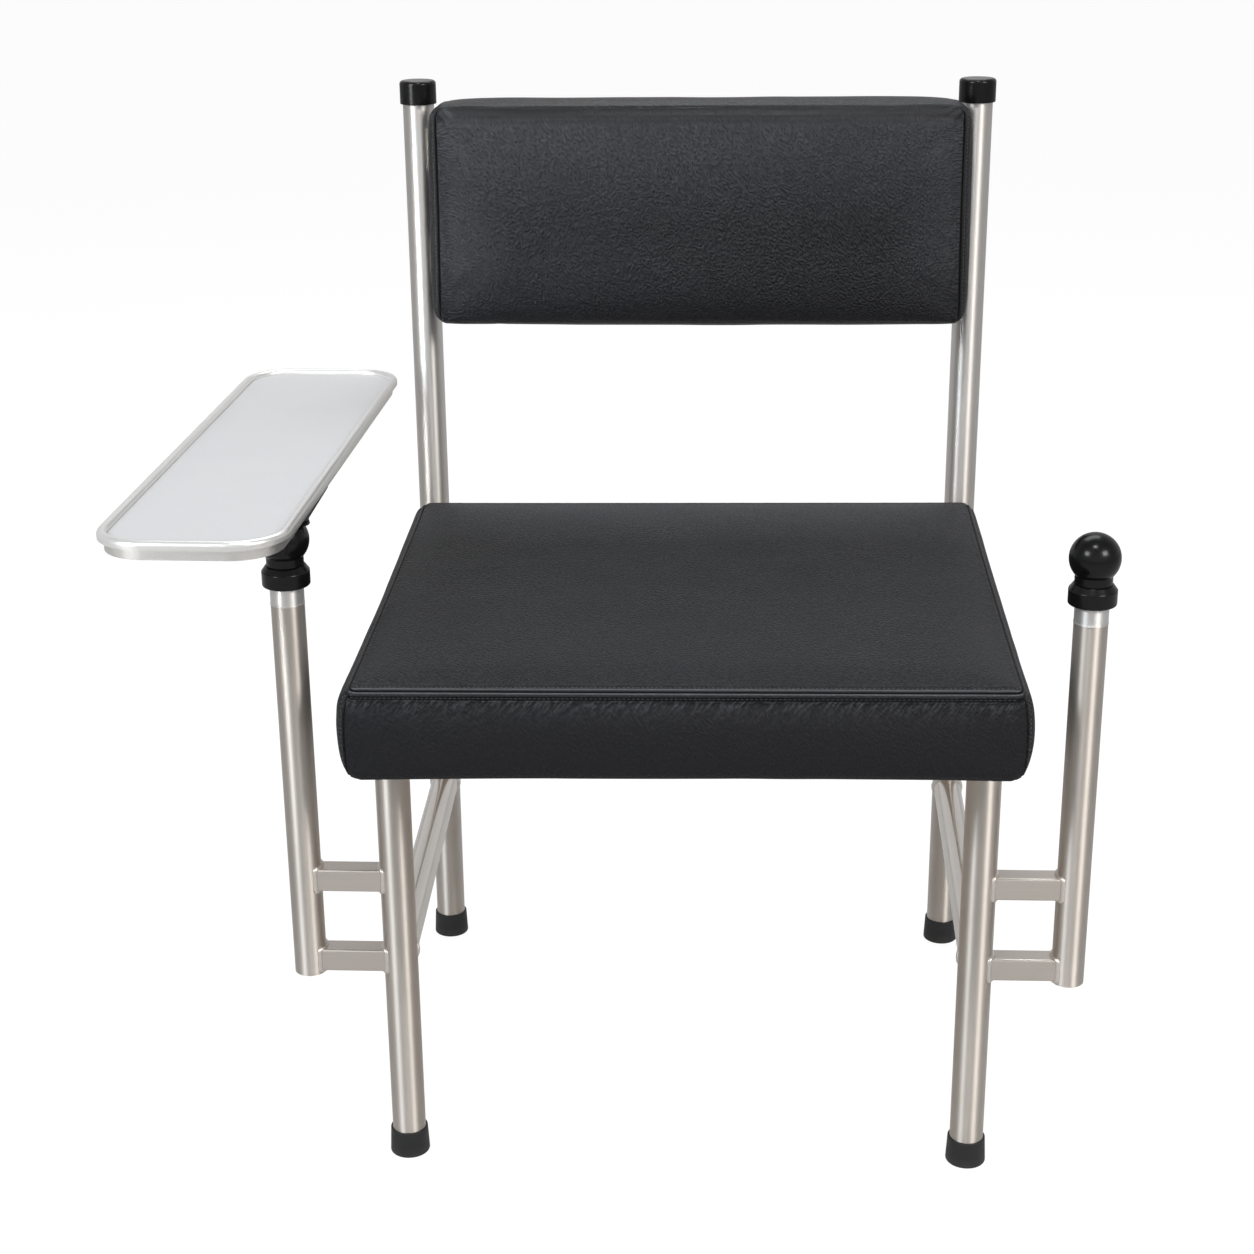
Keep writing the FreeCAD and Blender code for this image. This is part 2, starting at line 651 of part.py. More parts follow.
for half, gap in (("front", "22.1"), ("rear", "-22.1")):
    stock = fuse("socket_stock_" + half,
                 globe("socket_skin_" + half, "socket_outer", BALL_X, FRONT, BALL_Z),
                 rod("socket_boss_" + half, "boss_outer", "socket_rise", BALL_X, FRONT, BALL_Z),
                 box("socket_ear_" + half, "14", "22", "16", BALL_X + " - 29", FRONT, BALL_Z + " - 4"))
    screws = [rod("socket_ear_hole_%s_%s" % (half, k), "2.0", "40", BALL_X + " - 31.5", FRONT + " - 20", BALL_Z + h, ALONG_Y)
              for k, h in (("a", " - 0.2"), ("b", " + 8.2"))]
    up = "- 9" if half == "front" else "+ 9"
    tops = [rod("socket_top_hole_%s_%s" % (half, k), "1.75", "12", BALL_X + h, FRONT + " " + up, BALL_Z + " + socket_rise - 9")
            for k, h in (("a", " - 14"), ("b", " + 14"))]
    keep(cut("socket_%s_half" % half, stock,
             globe("socket_hollow_" + half, "socket_inner", BALL_X, FRONT, BALL_Z),
             box("socket_floor_" + half, "120", "120", "60", BALL_X, FRONT, BALL_Z + " - socket_drop - 60"),
             box("socket_roof_" + half, "120", "120", "60", BALL_X, FRONT, BALL_Z + " + socket_rise"),
             opening("socket_opening_" + half), half_space("socket_half_" + half, gap), *(screws + tops)))

clamp = []
for k, h in (("a", " - 0.2"), ("b", " + 8.2")):
    clamp.append(fuse("clamp_screw_" + k,
                      rod("clamp_screw_shank_" + k, "2.0", "24", BALL_X + " - 31.5", FRONT + " - 11", BALL_Z + h, ALONG_Y),
                      rod("clamp_screw_head_" + k, "3.6", "3", BALL_X + " - 31.5", FRONT + " - 14", BALL_Z + h, ALONG_Y),
                      rod("clamp_screw_nut_" + k, "3.8", "3", BALL_X + " - 31.5", FRONT + " + 11", BALL_Z + h, ALONG_Y)))
keep(group("clamp_screws", *clamp))

# mounting plate between the socket and the tray, with its screws
PLATE_Z = BALL_Z + " + socket_rise"
plate_stock = box("plate_stock", "66", "96", "plate_thickness", BALL_X + " - 4", FRONT + " + 8", PLATE_Z)
plate_spots = [("a", " - 30", " - 30"), ("b", " + 22", " - 30"), ("c", " - 30", " + 46"), ("d", " + 22", " + 46")]
socket_spots = [("a", " - 14", " - 9"), ("b", " + 14", " - 9"), ("c", " - 14", " + 9"), ("d", " + 14", " + 9")]
plate_tools = [rod("plate_hole_" + k, "2.0", "10", BALL_X + dx, FRONT + dy, PLATE_Z + " - 3") for k, dx, dy in plate_spots]
plate_tools += [rod("plate_socket_hole_" + k, "1.75", "10", BALL_X + dx, FRONT + dy, PLATE_Z + " - 3") for k, dx, dy in socket_spots]
keep(cut("mounting_plate", plate_stock, *plate_tools))
keep(group("plate_screws", *[fuse("plate_screw_" + k,
                                  rod("plate_screw_shank_" + k, "2.0", "plate_thickness + 7", BALL_X + dx, FRONT + dy, PLATE_Z),
                                  rod("plate_screw_head_" + k, "4.0", "2.4", BALL_X + dx, FRONT + dy, PLATE_Z + " - 2.4"))
                             for k, dx, dy in plate_spots]))
keep(group("socket_screws", *[rod("socket_screw_" + k, "1.75", "9 + plate_thickness", BALL_X + dx, FRONT + dy, PLATE_Z + " - 9")
                              for k, dx, dy in socket_spots]))

# ---------------------------------------------------------------- tray
YAW = FreeCAD.Rotation(FreeCAD.Vector(0, 0, 1), D["tray_yaw"])
TRAY_X = "middle_x + tray_x"
TRAY_Y = "middle_y + tray_y"
RIM_Z = "band_bottom + band_height"

pan = rounded_block("tray_pan_sheet", "tray_width - 2 * band_inset", "tray_length - 2 * band_inset", "band_height",
                    "tray_corner - band_inset",
                    ("tray_width - 2 * band_inset - 2 * sheet_gauge", "tray_length - 2 * band_inset - 2 * sheet_gauge",
                     "tray_corner - band_inset - sheet_gauge"), "band_height - sheet_gauge")
place(pan, TRAY_X, TRAY_Y, "band_bottom", YAW)
pan_holes = [rod("pan_hole_" + k, "2.0", "6", BALL_X + dx, FRONT + dy, PLATE_Z) for k, dx, dy in plate_spots]
keep(cut("tray_pan", pan, *pan_holes))
core = rounded_block("tray_core_board", "tray_width - 2 * band_inset - 2 * sheet_gauge",
                     "tray_length - 2 * band_inset - 2 * sheet_gauge", "band_height - sheet_gauge",
                     "tray_corner - band_inset - sheet_gauge")
place(core, TRAY_X, TRAY_Y, "band_bottom + sheet_gauge", YAW)
core_holes = [rod("core_hole_" + k, "2.0", "plate_thickness + 7", BALL_X + dx, FRONT + dy, PLATE_Z) for k, dx, dy in plate_spots]
keep(cut("tray_core", core, *core_holes))
panel = keep(rounded_block("tray_panel", "tray_width - 2 * bead_width - 0.6", "tray_length - 2 * bead_width - 0.6",
                           "panel_thickness", "tray_corner - bead_width - 0.3"))
place(panel, TRAY_X, TRAY_Y, RIM_Z, YAW)
rim = keep(rounded_block("tray_rim", "tray_width", "tray_length", "bead_height", "tray_corner",
                         ("tray_width - 2 * bead_width", "tray_length - 2 * bead_width", "tray_corner - bead_width"),
                         "bead_height", (("outer", "4.0"), ("inner", "3.6"))))
place(rim, TRAY_X, TRAY_Y, RIM_Z, YAW)

# ---------------------------------------------------------------- write
doc.recompute()
for obj in doc.Objects:
    bad = [state for state in obj.State if state in ("Invalid", "Error")]
    if bad:
        raise RuntimeError("%s is %s" % (obj.Label, bad))
for node in nodes:
    if node.Shape.isNull() or not node.Shape.isValid() or not node.Shape.Solids:
        raise RuntimeError("bad shape: " + node.Label)
os.makedirs("parts", exist_ok=True)
whole = FreeCAD.BoundBox()
for node in nodes:
    node.Shape.exportStep("parts/%s.step" % node.Label)
    whole.add(node.Shape.BoundBox)
print(len(nodes), "nodes", whole)
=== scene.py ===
import math

import bmesh
import bpy
import numpy as np
from mathutils import Matrix, Vector


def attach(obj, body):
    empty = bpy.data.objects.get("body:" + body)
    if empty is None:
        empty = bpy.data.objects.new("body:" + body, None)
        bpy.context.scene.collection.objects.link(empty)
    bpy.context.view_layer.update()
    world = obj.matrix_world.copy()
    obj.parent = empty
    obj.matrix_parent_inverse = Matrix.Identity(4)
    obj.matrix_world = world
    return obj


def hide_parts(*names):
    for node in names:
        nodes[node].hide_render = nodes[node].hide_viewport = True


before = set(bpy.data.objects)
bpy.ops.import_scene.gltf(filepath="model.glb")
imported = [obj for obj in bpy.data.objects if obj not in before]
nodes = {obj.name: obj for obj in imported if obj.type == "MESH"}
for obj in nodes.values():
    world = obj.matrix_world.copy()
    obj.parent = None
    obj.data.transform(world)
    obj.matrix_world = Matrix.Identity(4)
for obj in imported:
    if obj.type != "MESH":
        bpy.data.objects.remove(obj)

# Phlebotomy chair. Metres, +Z up, the sitter faces -Y.
scene = bpy.context.scene
for extra in [o for o in bpy.data.objects if o.type in ("MESH", "LIGHT", "CAMERA") and o.name not in nodes]:
    bpy.data.objects.remove(extra)
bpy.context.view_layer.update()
MM = 0.001


# ------------------------------------------------------------------ materials
class Tree:
    """Short hand for a material's node tree."""

    def __init__(self, name):
        self.mat = bpy.data.materials.new(name)
        self.mat.use_nodes = True
        self.tree = self.mat.node_tree
        self.tree.nodes.clear()
        self.out = self.tree.nodes.new("ShaderNodeOutputMaterial")
        self.shader = self.tree.nodes.new("ShaderNodeBsdfPrincipled")
        self.tree.links.new(self.shader.outputs[0], self.out.inputs[0])
        coords = self.tree.nodes.new("ShaderNodeTexCoord")
        self.coords = coords.outputs["Object"]

    def node(self, kind, **inputs):
        n = self.tree.nodes.new(kind)
        for key, value in inputs.items():
            if key.startswith("_"):
                setattr(n, key[1:], value)
                continue
            socket = n.inputs[int(key[1:])] if key[0] == "i" and key[1:].isdigit() else n.inputs[key.replace("__", " ")]
            if isinstance(value, bpy.types.NodeSocket):
                self.tree.links.new(value, socket)
            else:
                socket.default_value = value
        return n

    def mapped(self, scale=(1, 1, 1), rotation=(0, 0, 0), source=None):
        n = self.node("ShaderNodeMapping", Vector=source or self.coords)
        n.inputs["Scale"].default_value = scale
        n.inputs["Rotation"].default_value = rotation
        return n.outputs[0]

    def noise(self, vector, scale, detail=2.0, rough=0.5, distortion=0.0):
        n = self.node("ShaderNodeTexNoise", Vector=vector, Scale=scale, Detail=detail, Roughness=rough, Distortion=distortion)
        return n.outputs["Fac"]

    def ramp(self, fac, stops):
        n = self.node("ShaderNodeValToRGB", Fac=fac)
        ramp = n.color_ramp
        while len(ramp.elements) < len(stops):
            ramp.elements.new(0.5)
        for element, (position, colour) in zip(ramp.elements, stops):
            element.position = position
            element.color = colour if len(colour) == 4 else (*colour, 1.0)
        return n.outputs["Color"]

    def maths(self, operation, a, b=0.5, c=0.5, clamp=False):
        n = self.node("ShaderNodeMath", _operation=operation, _use_clamp=clamp)
        for socket, value in zip(n.inputs, (a, b, c)):
            if isinstance(value, bpy.types.NodeSocket):
                self.tree.links.new(value, socket)
            else:
                socket.default_value = value
        return n.outputs[0]

    def span(self, fac, low, high, to_low, to_high):
        n = self.node("ShaderNodeMapRange", Value=fac)
        n.inputs["From Min"].default_value = low
        n.inputs["From Max"].default_value = high
        n.inputs["To Min"].default_value = to_low
        n.inputs["To Max"].default_value = to_high
        return n.outputs[0]

    def mix(self, fac, a, b):
        n = self.node("ShaderNodeMix", _data_type="RGBA")
        for socket, value in ((n.inputs["Factor"], fac), (n.inputs[6], a), (n.inputs[7], b)):
            if isinstance(value, bpy.types.NodeSocket):
                self.tree.links.new(value, socket)
            else:
                socket.default_value = (*value, 1.0) if hasattr(value, "__len__") and len(value) == 3 else value
        return n.outputs[2]

    def bump(self, height, distance, strength=1.0, before=None):
        n = self.node("ShaderNodeBump", Height=height, Distance=distance, Strength=strength)
        if before is not None:
            self.tree.links.new(before, n.inputs["Normal"])
        return n.outputs[0]

    def set(self, **inputs):
        for key, value in inputs.items():
            socket = self.shader.inputs[key.replace("__", " ")]
            if isinstance(value, bpy.types.NodeSocket):
                self.tree.links.new(value, socket)
            elif hasattr(value, "__len__") and len(value) == 3 and socket.type == "RGBA":
                socket.default_value = (*value, 1.0)
            else:
                socket.default_value = value
        return self


def brushed_metal(name, colour, axis, rough=(0.27, 0.36), streak=0.06, strength=0.35, across=900.0, along=9.0, metallic=1.0, spread=0.0, turned=0.25, painted_top_highlight=None):
    """Metal with fine brushing lines that run along axis. spread is how much wider the gloss is along the tube than round it."""
    t = Tree(name)
    scale = [across, across, across]
    scale[axis] = along
    lines = t.noise(t.mapped(tuple(scale)), 1.0, 3.0, 0.6)
    scale = [across * 0.28, across * 0.28, across * 0.28]
    scale[axis] = along * 0.6
    broad = t.noise(t.mapped(tuple(scale)), 1.0, 2.0, 0.5)
    cloud = t.noise(t.coords, 17.0, 3.0, 0.55)
    dark = tuple(c * (1.0 - streak) for c in colour)
    light = tuple(min(1.0, c * (1.0 + streak)) for c in colour)
    tone = t.mix(t.span(lines, 0.35, 0.65, 0.0, 1.0), dark, light)
    tone = t.mix(t.span(cloud, 0.35, 0.7, 0.0, 0.5), tone, tuple(c * 0.94 for c in colour))
    # painted highlight: the tube is painted paler from 0.36 m up, fully from 0.62 m
    if painted_top_highlight:
        height = t.node("ShaderNodeSeparateXYZ", Vector=t.coords).outputs["Z"]
        tone = t.mix(t.span(height, 0.36, 0.62, 0.0, 1.0), tone, t.mix(t.span(lines, 0.35, 0.65, 0.0, 1.0), tuple(c * 0.985 for c in painted_top_highlight), painted_top_highlight))
    roughness = t.maths("ADD", t.span(broad, 0.3, 0.7, rough[0], rough[1]), t.span(cloud, 0.3, 0.7, -0.015, 0.02))
    t.set(Base__Color=tone, Metallic=metallic, Roughness=roughness, Normal=t.bump(lines, 0.00002, strength))
    if spread:
        t.set(Anisotropic=spread, Anisotropic__Rotation=turned)
    return t.mat


def moulded(name, colour, rough=(0.28, 0.36), grain=0.00002, scale=1500.0, coat=0.0, level=0.5, rounded=0.0):
    """Satin moulded plastic: very fine grain and a slightly uneven gloss."""
    t = Tree(name)
    fine = t.noise(t.coords, scale, 2.0, 0.6)
    cloud = t.noise(t.coords, 60.0, 3.0, 0.6)
    scuff = t.noise(t.mapped((1.0, 1.0, 0.12)), 420.0, 3.0, 0.7)
    tone = t.mix(t.span(cloud, 0.35, 0.7, 0.0, 1.0), colour, tuple(min(1, c * 1.35 + 0.0015) for c in colour))
    roughness = t.maths("ADD", t.span(cloud, 0.3, 0.7, rough[0], rough[1]), t.span(scuff, 0.45, 0.8, 0.0, 0.06))
    edge = t.node("ShaderNodeBevel", _samples=6, Radius=rounded).outputs[0] if rounded else None
    t.set(Base__Color=tone, Roughness=roughness, Normal=t.bump(fine, grain, 0.5, edge))
    t.set(Specular__IOR__Level=level)
    if coat:
        t.set(Coat__Weight=coat, Coat__Roughness=0.12)
    return t.mat


def rubber(name):
    t = Tree(name)
    fine = t.noise(t.coords, 900.0, 3.0, 0.7)
    cloud = t.noise(t.coords, 70.0, 3.0, 0.6)
    z = t.node("ShaderNodeSeparateXYZ", Vector=t.coords).outputs["Z"]
    dust = t.maths("MULTIPLY", t.span(z, 0.0, 0.010, 1.0, 0.0), t.span(cloud, 0.35, 0.7, 0.2, 1.0), clamp=True)
    tone = t.mix(t.span(fine, 0.3, 0.7, 0.0, 1.0), (0.012, 0.0122, 0.0128), (0.02, 0.0205, 0.0215))
    tone = t.mix(t.maths("MULTIPLY", dust, 0.35, clamp=True), tone, (0.11, 0.105, 0.10))
    t.set(Base__Color=tone, Roughness=t.span(cloud, 0.3, 0.7, 0.44, 0.58), Normal=t.bump(fine, 0.00005, 0.5))
    t.set(Specular__IOR__Level=0.42)
    return t.mat


def plywood(name, tone_a, tone_b):
    t = Tree(name)
    grain = t.noise(t.mapped((7.0, 120.0, 120.0)), 1.0, 6.0, 0.6, 0.6)
    pores = t.noise(t.mapped((40.0, 1100.0, 1100.0)), 1.0, 2.0, 0.6)
    tone = t.mix(t.span(grain, 0.3, 0.7, 0.0, 1.0), tone_a, tone_b)
    t.set(Base__Color=tone, Roughness=t.span(pores, 0.3, 0.7, 0.55, 0.75), Normal=t.bump(pores, 0.0002, 0.4))
    return t.mat


def laminate(name):
    """Pale matt laminate with a faint speckle."""
    t = Tree(name)
    speck = t.noise(t.coords, 1300.0, 2.0, 0.7)
    cloud = t.noise(t.coords, 9.0, 3.0, 0.5)
    tone = t.mix(t.span(speck, 0.35, 0.65, 0.0, 1.0), (0.553, 0.552, 0.561), (0.599, 0.597, 0.604))
    tone = t.mix(t.span(cloud, 0.35, 0.7, 0.0, 0.35), tone, (0.542, 0.542, 0.552))
    t.set(Base__Color=tone, Roughness=t.span(cloud, 0.3, 0.7, 0.42, 0.5), Normal=t.bump(speck, 0.00003, 0.35))
    return t.mat


def leatherette(name, deep=(0.0012, 0.0014, 0.0020), high=(0.0110, 0.0118, 0.0150)):
    """Black coated upholstery cloth: drawn-out pebbles in wandering rows, which lie across the
    seams near the sides. groove (0 to 1) marks the seams, painted dark as painted shade, edge the sides,
    calm the smooth strips, lip the rolls beside a seam, painted pale as a painted highlight, pull the wrinkles
    that hang from a stitched row, whose crests are painted pale as a painted highlight. The painted shade mark makes
    the cloth darker and duller, and the painted highlight mark paints the pebbles pale."""
    t = Tree(name)
    groove = t.node("ShaderNodeAttribute", _attribute_name="groove").outputs["Fac"]
    edge = t.node("ShaderNodeAttribute", _attribute_name="edge").outputs["Fac"]
    calm = t.node("ShaderNodeAttribute", _attribute_name="calm").outputs["Fac"]
    lip = t.node("ShaderNodeAttribute", _attribute_name="lip").outputs["Fac"]
    pull = t.node("ShaderNodeAttribute", _attribute_name="pull").outputs["Fac"]
    # painted shade mark: where it is set the cloth is painted darker and made duller
    dull = t.node("ShaderNodeAttribute", _attribute_name="dull").outputs["Fac"]
    # painted highlight mark: where it is set the pebbles are painted paler
    worn = t.node("ShaderNodeAttribute", _attribute_name="worn").outputs["Fac"]
    wander = t.node("ShaderNodeTexNoise", Vector=t.coords, Scale=7.0, Detail=1.0, Roughness=0.5).outputs["Color"]
    centred = t.node("ShaderNodeVectorMath", _operation="SUBTRACT", i0=wander, i1=(0.5, 0.5, 0.5)).outputs[0]
    pushed = t.node("ShaderNodeVectorMath", _operation="SCALE", i0=centred)
    pushed.inputs["Scale"].default_value = 0.034
    bent = t.node("ShaderNodeVectorMath", _operation="ADD", i0=t.coords, i1=pushed.outputs[0]).outputs[0]
    slant = t.mapped((1.0, 1.0, 1.0), (math.radians(34), math.radians(22), math.radians(37)), bent)
    free = t.noise(t.mapped((1.0, 1.0, 0.40), source=slant), 580.0, 1.0, 0.4)
    held = t.noise(t.mapped((0.36, 1.0, 1.0), source=bent), 580.0, 1.0, 0.4)
    cell = t.maths("ADD", t.maths("MULTIPLY", free, t.maths("SUBTRACT", 1.0, edge)), t.maths("MULTIPLY", held, edge))
    pebble = t.span(cell, 0.30, 0.70, 0.0, 1.0)
    fine = t.noise(t.mapped((1.0, 1.0, 0.5), source=slant), 900.0, 2.5, 0.6)
    soft = t.noise(t.coords, 42.0, 3.0, 0.55)
    cloud = t.noise(t.coords, 7.0, 2.0, 0.5)
    keep = t.maths("MULTIPLY", t.maths("SUBTRACT", 1.0, calm, clamp=True), t.maths("SUBTRACT", 1.0, groove, clamp=True), clamp=True)
    relief = t.maths("MULTIPLY", pebble, t.maths("MULTIPLY_ADD", keep, 0.88, 0.12))
    first = t.bump(fine, 0.0002, 0.6)
    second = t.bump(relief, 0.00125, 1.0, first)
    third = t.bump(soft, 0.0012, 0.4, second)
    leaning = t.mapped((1.0, 1.0, 1.0), (0.0, math.radians(52), 0.0))
    strand = t.noise(t.mapped((115.0, 60.0, 430.0), source=leaning), 1.0, 2.0, 0.55)
    third = t.bump(t.maths("MULTIPLY", strand, pull), 0.0045, 1.0, third)
    # crests of the hanging wrinkles, used below for a painted highlight
    pulled = t.maths("MULTIPLY", t.span(strand, 0.46, 0.66, 0.0, 1.0), pull)
    tone = t.mix(t.maths("MULTIPLY", pebble, t.maths("MULTIPLY_ADD", keep, 0.7, 0.3)), deep, high)
    tone = t.mix(t.span(cloud, 0.35, 0.68, 0.0, 0.45), tone, tuple(c * 1.2 for c in high))
    # painted highlight: pebbles painted paler towards the backrest's top and sides and the seat's rear
    painted_highlight_share = t.maths("MULTIPLY", t.maths("MULTIPLY_ADD", pebble, 0.60, 0.40), keep)
    tone = t.mix(t.maths("MULTIPLY", painted_highlight_share, worn), tone, (0.0315, 0.0335, 0.0405))
    # painted shade: the cloth is painted darker on the seat's front wall and the backrest's lower edge
    tone = t.mix(t.maths("MULTIPLY", dull, 0.85), tone, (0.0008, 0.0010, 0.0034))
    # painted highlight: pale streaks painted on the crests of the hanging wrinkles
    tone = t.mix(pulled, tone, (0.060, 0.062, 0.068))
    # painted highlight: the rolls beside a seam are painted pale
    tone = t.mix(lip, tone, (0.085, 0.087, 0.094))
    # painted shade: the seam grooves are painted near black
    tone = t.mix(t.maths("MULTIPLY", groove, 0.95, clamp=True), tone, (0.0006, 0.0006, 0.0007))
    gloss = t.maths("ADD", t.span(pebble, 0.0, 1.0, 0.62, 0.50), t.span(cloud, 0.3, 0.7, -0.03, 0.04))
    gloss = t.maths("MULTIPLY_ADD", calm, -0.12, t.maths("MULTIPLY_ADD", lip, -0.16, gloss))
    gloss = t.maths("MULTIPLY_ADD", dull, 0.16, gloss)
    t.set(Base__Color=tone, Roughness=t.maths("MULTIPLY_ADD", groove, 0.4, gloss, clamp=True), Normal=third, Specular__IOR__Level=0.37)
    return t.mat


def thread_material(name):
    t = Tree(name)
    twist = t.noise(t.mapped((1.0, 1.0, 1.0)), 2600.0, 1.0, 0.5)
    tone = t.mix(t.span(twist, 0.35, 0.65, 0.0, 1.0), (0.022, 0.022, 0.024), (0.060, 0.061, 0.066))
    t.set(Base__Color=tone, Roughness=0.5, Normal=t.bump(twist, 0.00012, 0.6))
    t.set(Sheen__Weight=0.2)
    return t.mat


TUBE = (0.79, 0.738, 0.685)
BAR = (0.66, 0.61, 0.562)
MATS = {
    "tube_z": brushed_metal("tube_upright", TUBE, 2, (0.585, 0.615), 0.012, 0.02, 700.0, 3.0, 1.0, 0.95),
    # rear uprights: the tube finish with a painted highlight, paler towards the top
    "tube_painted_top_highlight": brushed_metal("tube_painted_top_highlight", TUBE, 2, (0.585, 0.615), 0.012, 0.02, 700.0, 3.0, 1.0, 0.95, painted_top_highlight=(0.93, 0.905, 0.875)),
    "tube_y": brushed_metal("tube_fore_aft", (0.74, 0.695, 0.65), 1, (0.15, 0.20), 0.02, 0.05, 700.0, 5.0),
    "tube_x": brushed_metal("tube_across", BAR, 0, (0.28, 0.35), 0.03, 0.12, 900.0, 9.0),
    "weld": brushed_metal("weld_bead", (0.76, 0.72, 0.68), 2, (0.34, 0.44), 0.04, 0.3, 500.0, 300.0),
    "stem": brushed_metal("stem_steel", (0.70, 0.70, 0.70), 2, (0.12, 0.18)),
    "screw": brushed_metal("screw_steel", (0.55, 0.55, 0.56), 0, (0.25, 0.34), 0.08, 0.4, 1200.0, 1200.0),
    "black_steel": moulded("powder_coat", (0.014, 0.014, 0.015), (0.42, 0.52), 0.00006, 700.0),
    "ring": brushed_metal("ring_aluminium", (0.94, 0.93, 0.918), 2, (0.55, 0.58), 0.01, 0.02, 700.0, 3.0, 1.0, 0.9),
    "rim": brushed_metal("rim_aluminium", (0.79, 0.785, 0.77), 1, (0.30, 0.36), 0.01, 0.03, 900.0, 20.0, 0.70),
    "band": brushed_metal("band_aluminium", (0.78, 0.765, 0.74), 1, (0.34, 0.44), 0.07, 0.4, 1100.0, 10.0),
    "panel": laminate("pale_laminate"),
    "wood": plywood("plywood", (0.42, 0.30, 0.18), (0.58, 0.44, 0.29)),
    "black_wood": plywood("black_board", (0.011, 0.011, 0.012), (0.02, 0.02, 0.021)),
    "leather": leatherette("leatherette"),
    "thread": thread_material("thread"),
    "rubber": rubber("foot_rubber"),
    "acetal": moulded("acetal", (0.02, 0.02, 0.021), (0.35, 0.42)),
    "plastic": moulded("black_plastic", (0.0032, 0.0032, 0.0035), (0.19, 0.24), 0.00001, level=0.27, rounded=0.0009),
}


def finish_for(name):
    # the rear uprights get the finish with a painted highlight towards the top
    if name.startswith("rear_upright"):
        return "tube_painted_top_highlight"
    if name.startswith(("front_leg", "arm_post", "post_end_disc", "back_tab")):
        return "tube_z"
    if name.startswith("side_stretcher") or name in ("seat_rail_left", "seat_rail_right"):
        return "tube_y"
    if name.startswith("post_link") or name in ("seat_rail_front", "seat_rail_rear"):
        return "tube_x"
    if name.startswith("arm_stem"):
        return "stem"
    if name.endswith("_screws"):
        return "screw"
    if name == "mounting_plate":
        return "black_steel"
    if name.startswith("post_ring"):
        return "ring"
    if name == "tray_rim":
        return "rim"
    if name == "tray_pan":
        return "band"
    if name == "tray_panel":
        return "panel"
    if name in ("tray_core", "seat_board"):
        return "wood"
    if name == "back_board":
        return "black_wood"
    if name.endswith("_cushion"):
        return "leather"
    if name.startswith("foot_"):
        return "rubber"
    if name.startswith("clamp_bush") or name == "ball_liner":
        return "acetal"
    return "plastic"


for name, obj in nodes.items():
    mat = MATS[finish_for(name)]
    if not obj.material_slots:
        obj.data.materials.append(mat)
    for place in obj.material_slots:
        place.material = mat


# ------------------------------------------------------------------ mesh tools
def mesh_object(name, verts, faces, material, smooth=True):
    mesh = bpy.data.meshes.new(name)
    mesh.from_pydata([tuple(v) for v in verts], [], [tuple(int(i) for i in f) for f in faces])
    mesh.validate(clean_customdata=False)
    mesh.update()
    obj = bpy.data.objects.new(name, mesh)
    scene.collection.objects.link(obj)
    mesh.materials.append(material)
    for p in mesh.polygons:
        p.use_smooth = smooth
    return obj


def lattice_noise(points, scale, seed):
    """Smooth noise from -1 to 1 at each point (n, 3), for lattice cells of 1 / scale."""
    p = np.asarray(points, float) * scale
    cell = np.floor(p).astype(np.int64)
    part = p - cell
    part = part * part * (3 - 2 * part)
    total = np.zeros(len(p))
    for dx in (0, 1):
        for dy in (0, 1):
            for dz in (0, 1):
                h = ((cell[:, 0] + dx) * 73856093) ^ ((cell[:, 1] + dy) * 19349663) ^ ((cell[:, 2] + dz) * 83492791) ^ (seed * 2654435761)
                h = (h ^ (h >> 13)) * 1274126177
                h = (h ^ (h >> 16)) & 0xFFFFFF
                value = h / float(0xFFFFFF) * 2 - 1
                weight = (np.where(dx, part[:, 0], 1 - part[:, 0]) * np.where(dy, part[:, 1], 1 - part[:, 1])
                          * np.where(dz, part[:, 2], 1 - part[:, 2]))
                total += value * weight
    return total


def steps(length, first, zone, growth, coarse, start=None):
    """Places along a side, close together at both ends and wider in the middle."""
    start = start or []
    marks, step = [0.0], first
    for extra in start:
        marks.append(marks[-1] + extra)
    while marks[-1] < length / 2:
        if marks[-1] > zone:
            step = min(step * growth, coarse)
        marks.append(marks[-1] + step)
    half = np.array(marks[:-1] if marks[-1] > length / 2 else marks)
    half = half[half < length / 2 - 0.5 * step]
    return np.concatenate([half, [length / 2], (length - half)[::-1]])


def curve_along(table, where):
    """Values of a table of (place, value...) at places, by smooth cubic steps."""
    table = np.asarray(table, float)
    x, y = table[:, 0], table[:, 1:]
    slope = np.zeros_like(y)
    slope[1:-1] = (y[2:] - y[:-2]) / (x[2:] - x[:-2])[:, None]
    slope[0] = (y[1] - y[0]) / (x[1] - x[0])
    slope[-1] = (y[-1] - y[-2]) / (x[-1] - x[-2])
    where = np.clip(np.asarray(where, float), x[0], x[-1])
    k = np.clip(np.searchsorted(x, where, side="right") - 1, 0, len(x) - 2)
    span = (x[k + 1] - x[k])
    u = ((where - x[k]) / span)[:, None]
    span = span[:, None]
    return ((2 * u ** 3 - 3 * u ** 2 + 1) * y[k] + (u ** 3 - 2 * u ** 2 + u) * span * slope[k]
            + (-2 * u ** 3 + 3 * u ** 2) * y[k + 1] + (u ** 3 - u ** 2) * span * slope[k + 1])


def with_length(points):
    """Profile points (offset, depth) with their running length in front."""
    p = np.asarray(points, float)
    run = np.concatenate([[0], np.cumsum(np.hypot(*np.diff(p, axis=0).T))])
    return np.column_stack([run, p])


def resample(field, old, new, axis):
    """Cubic interpolation of a grid of vectors from places old to places new along one axis."""
    field = np.moveaxis(field, axis, 0)
    flat = field.reshape(len(old), -1)
    out = curve_along(np.column_stack([old, flat]), new)
    return np.moveaxis(out.reshape((len(new),) + field.shape[1:]), 0, axis)


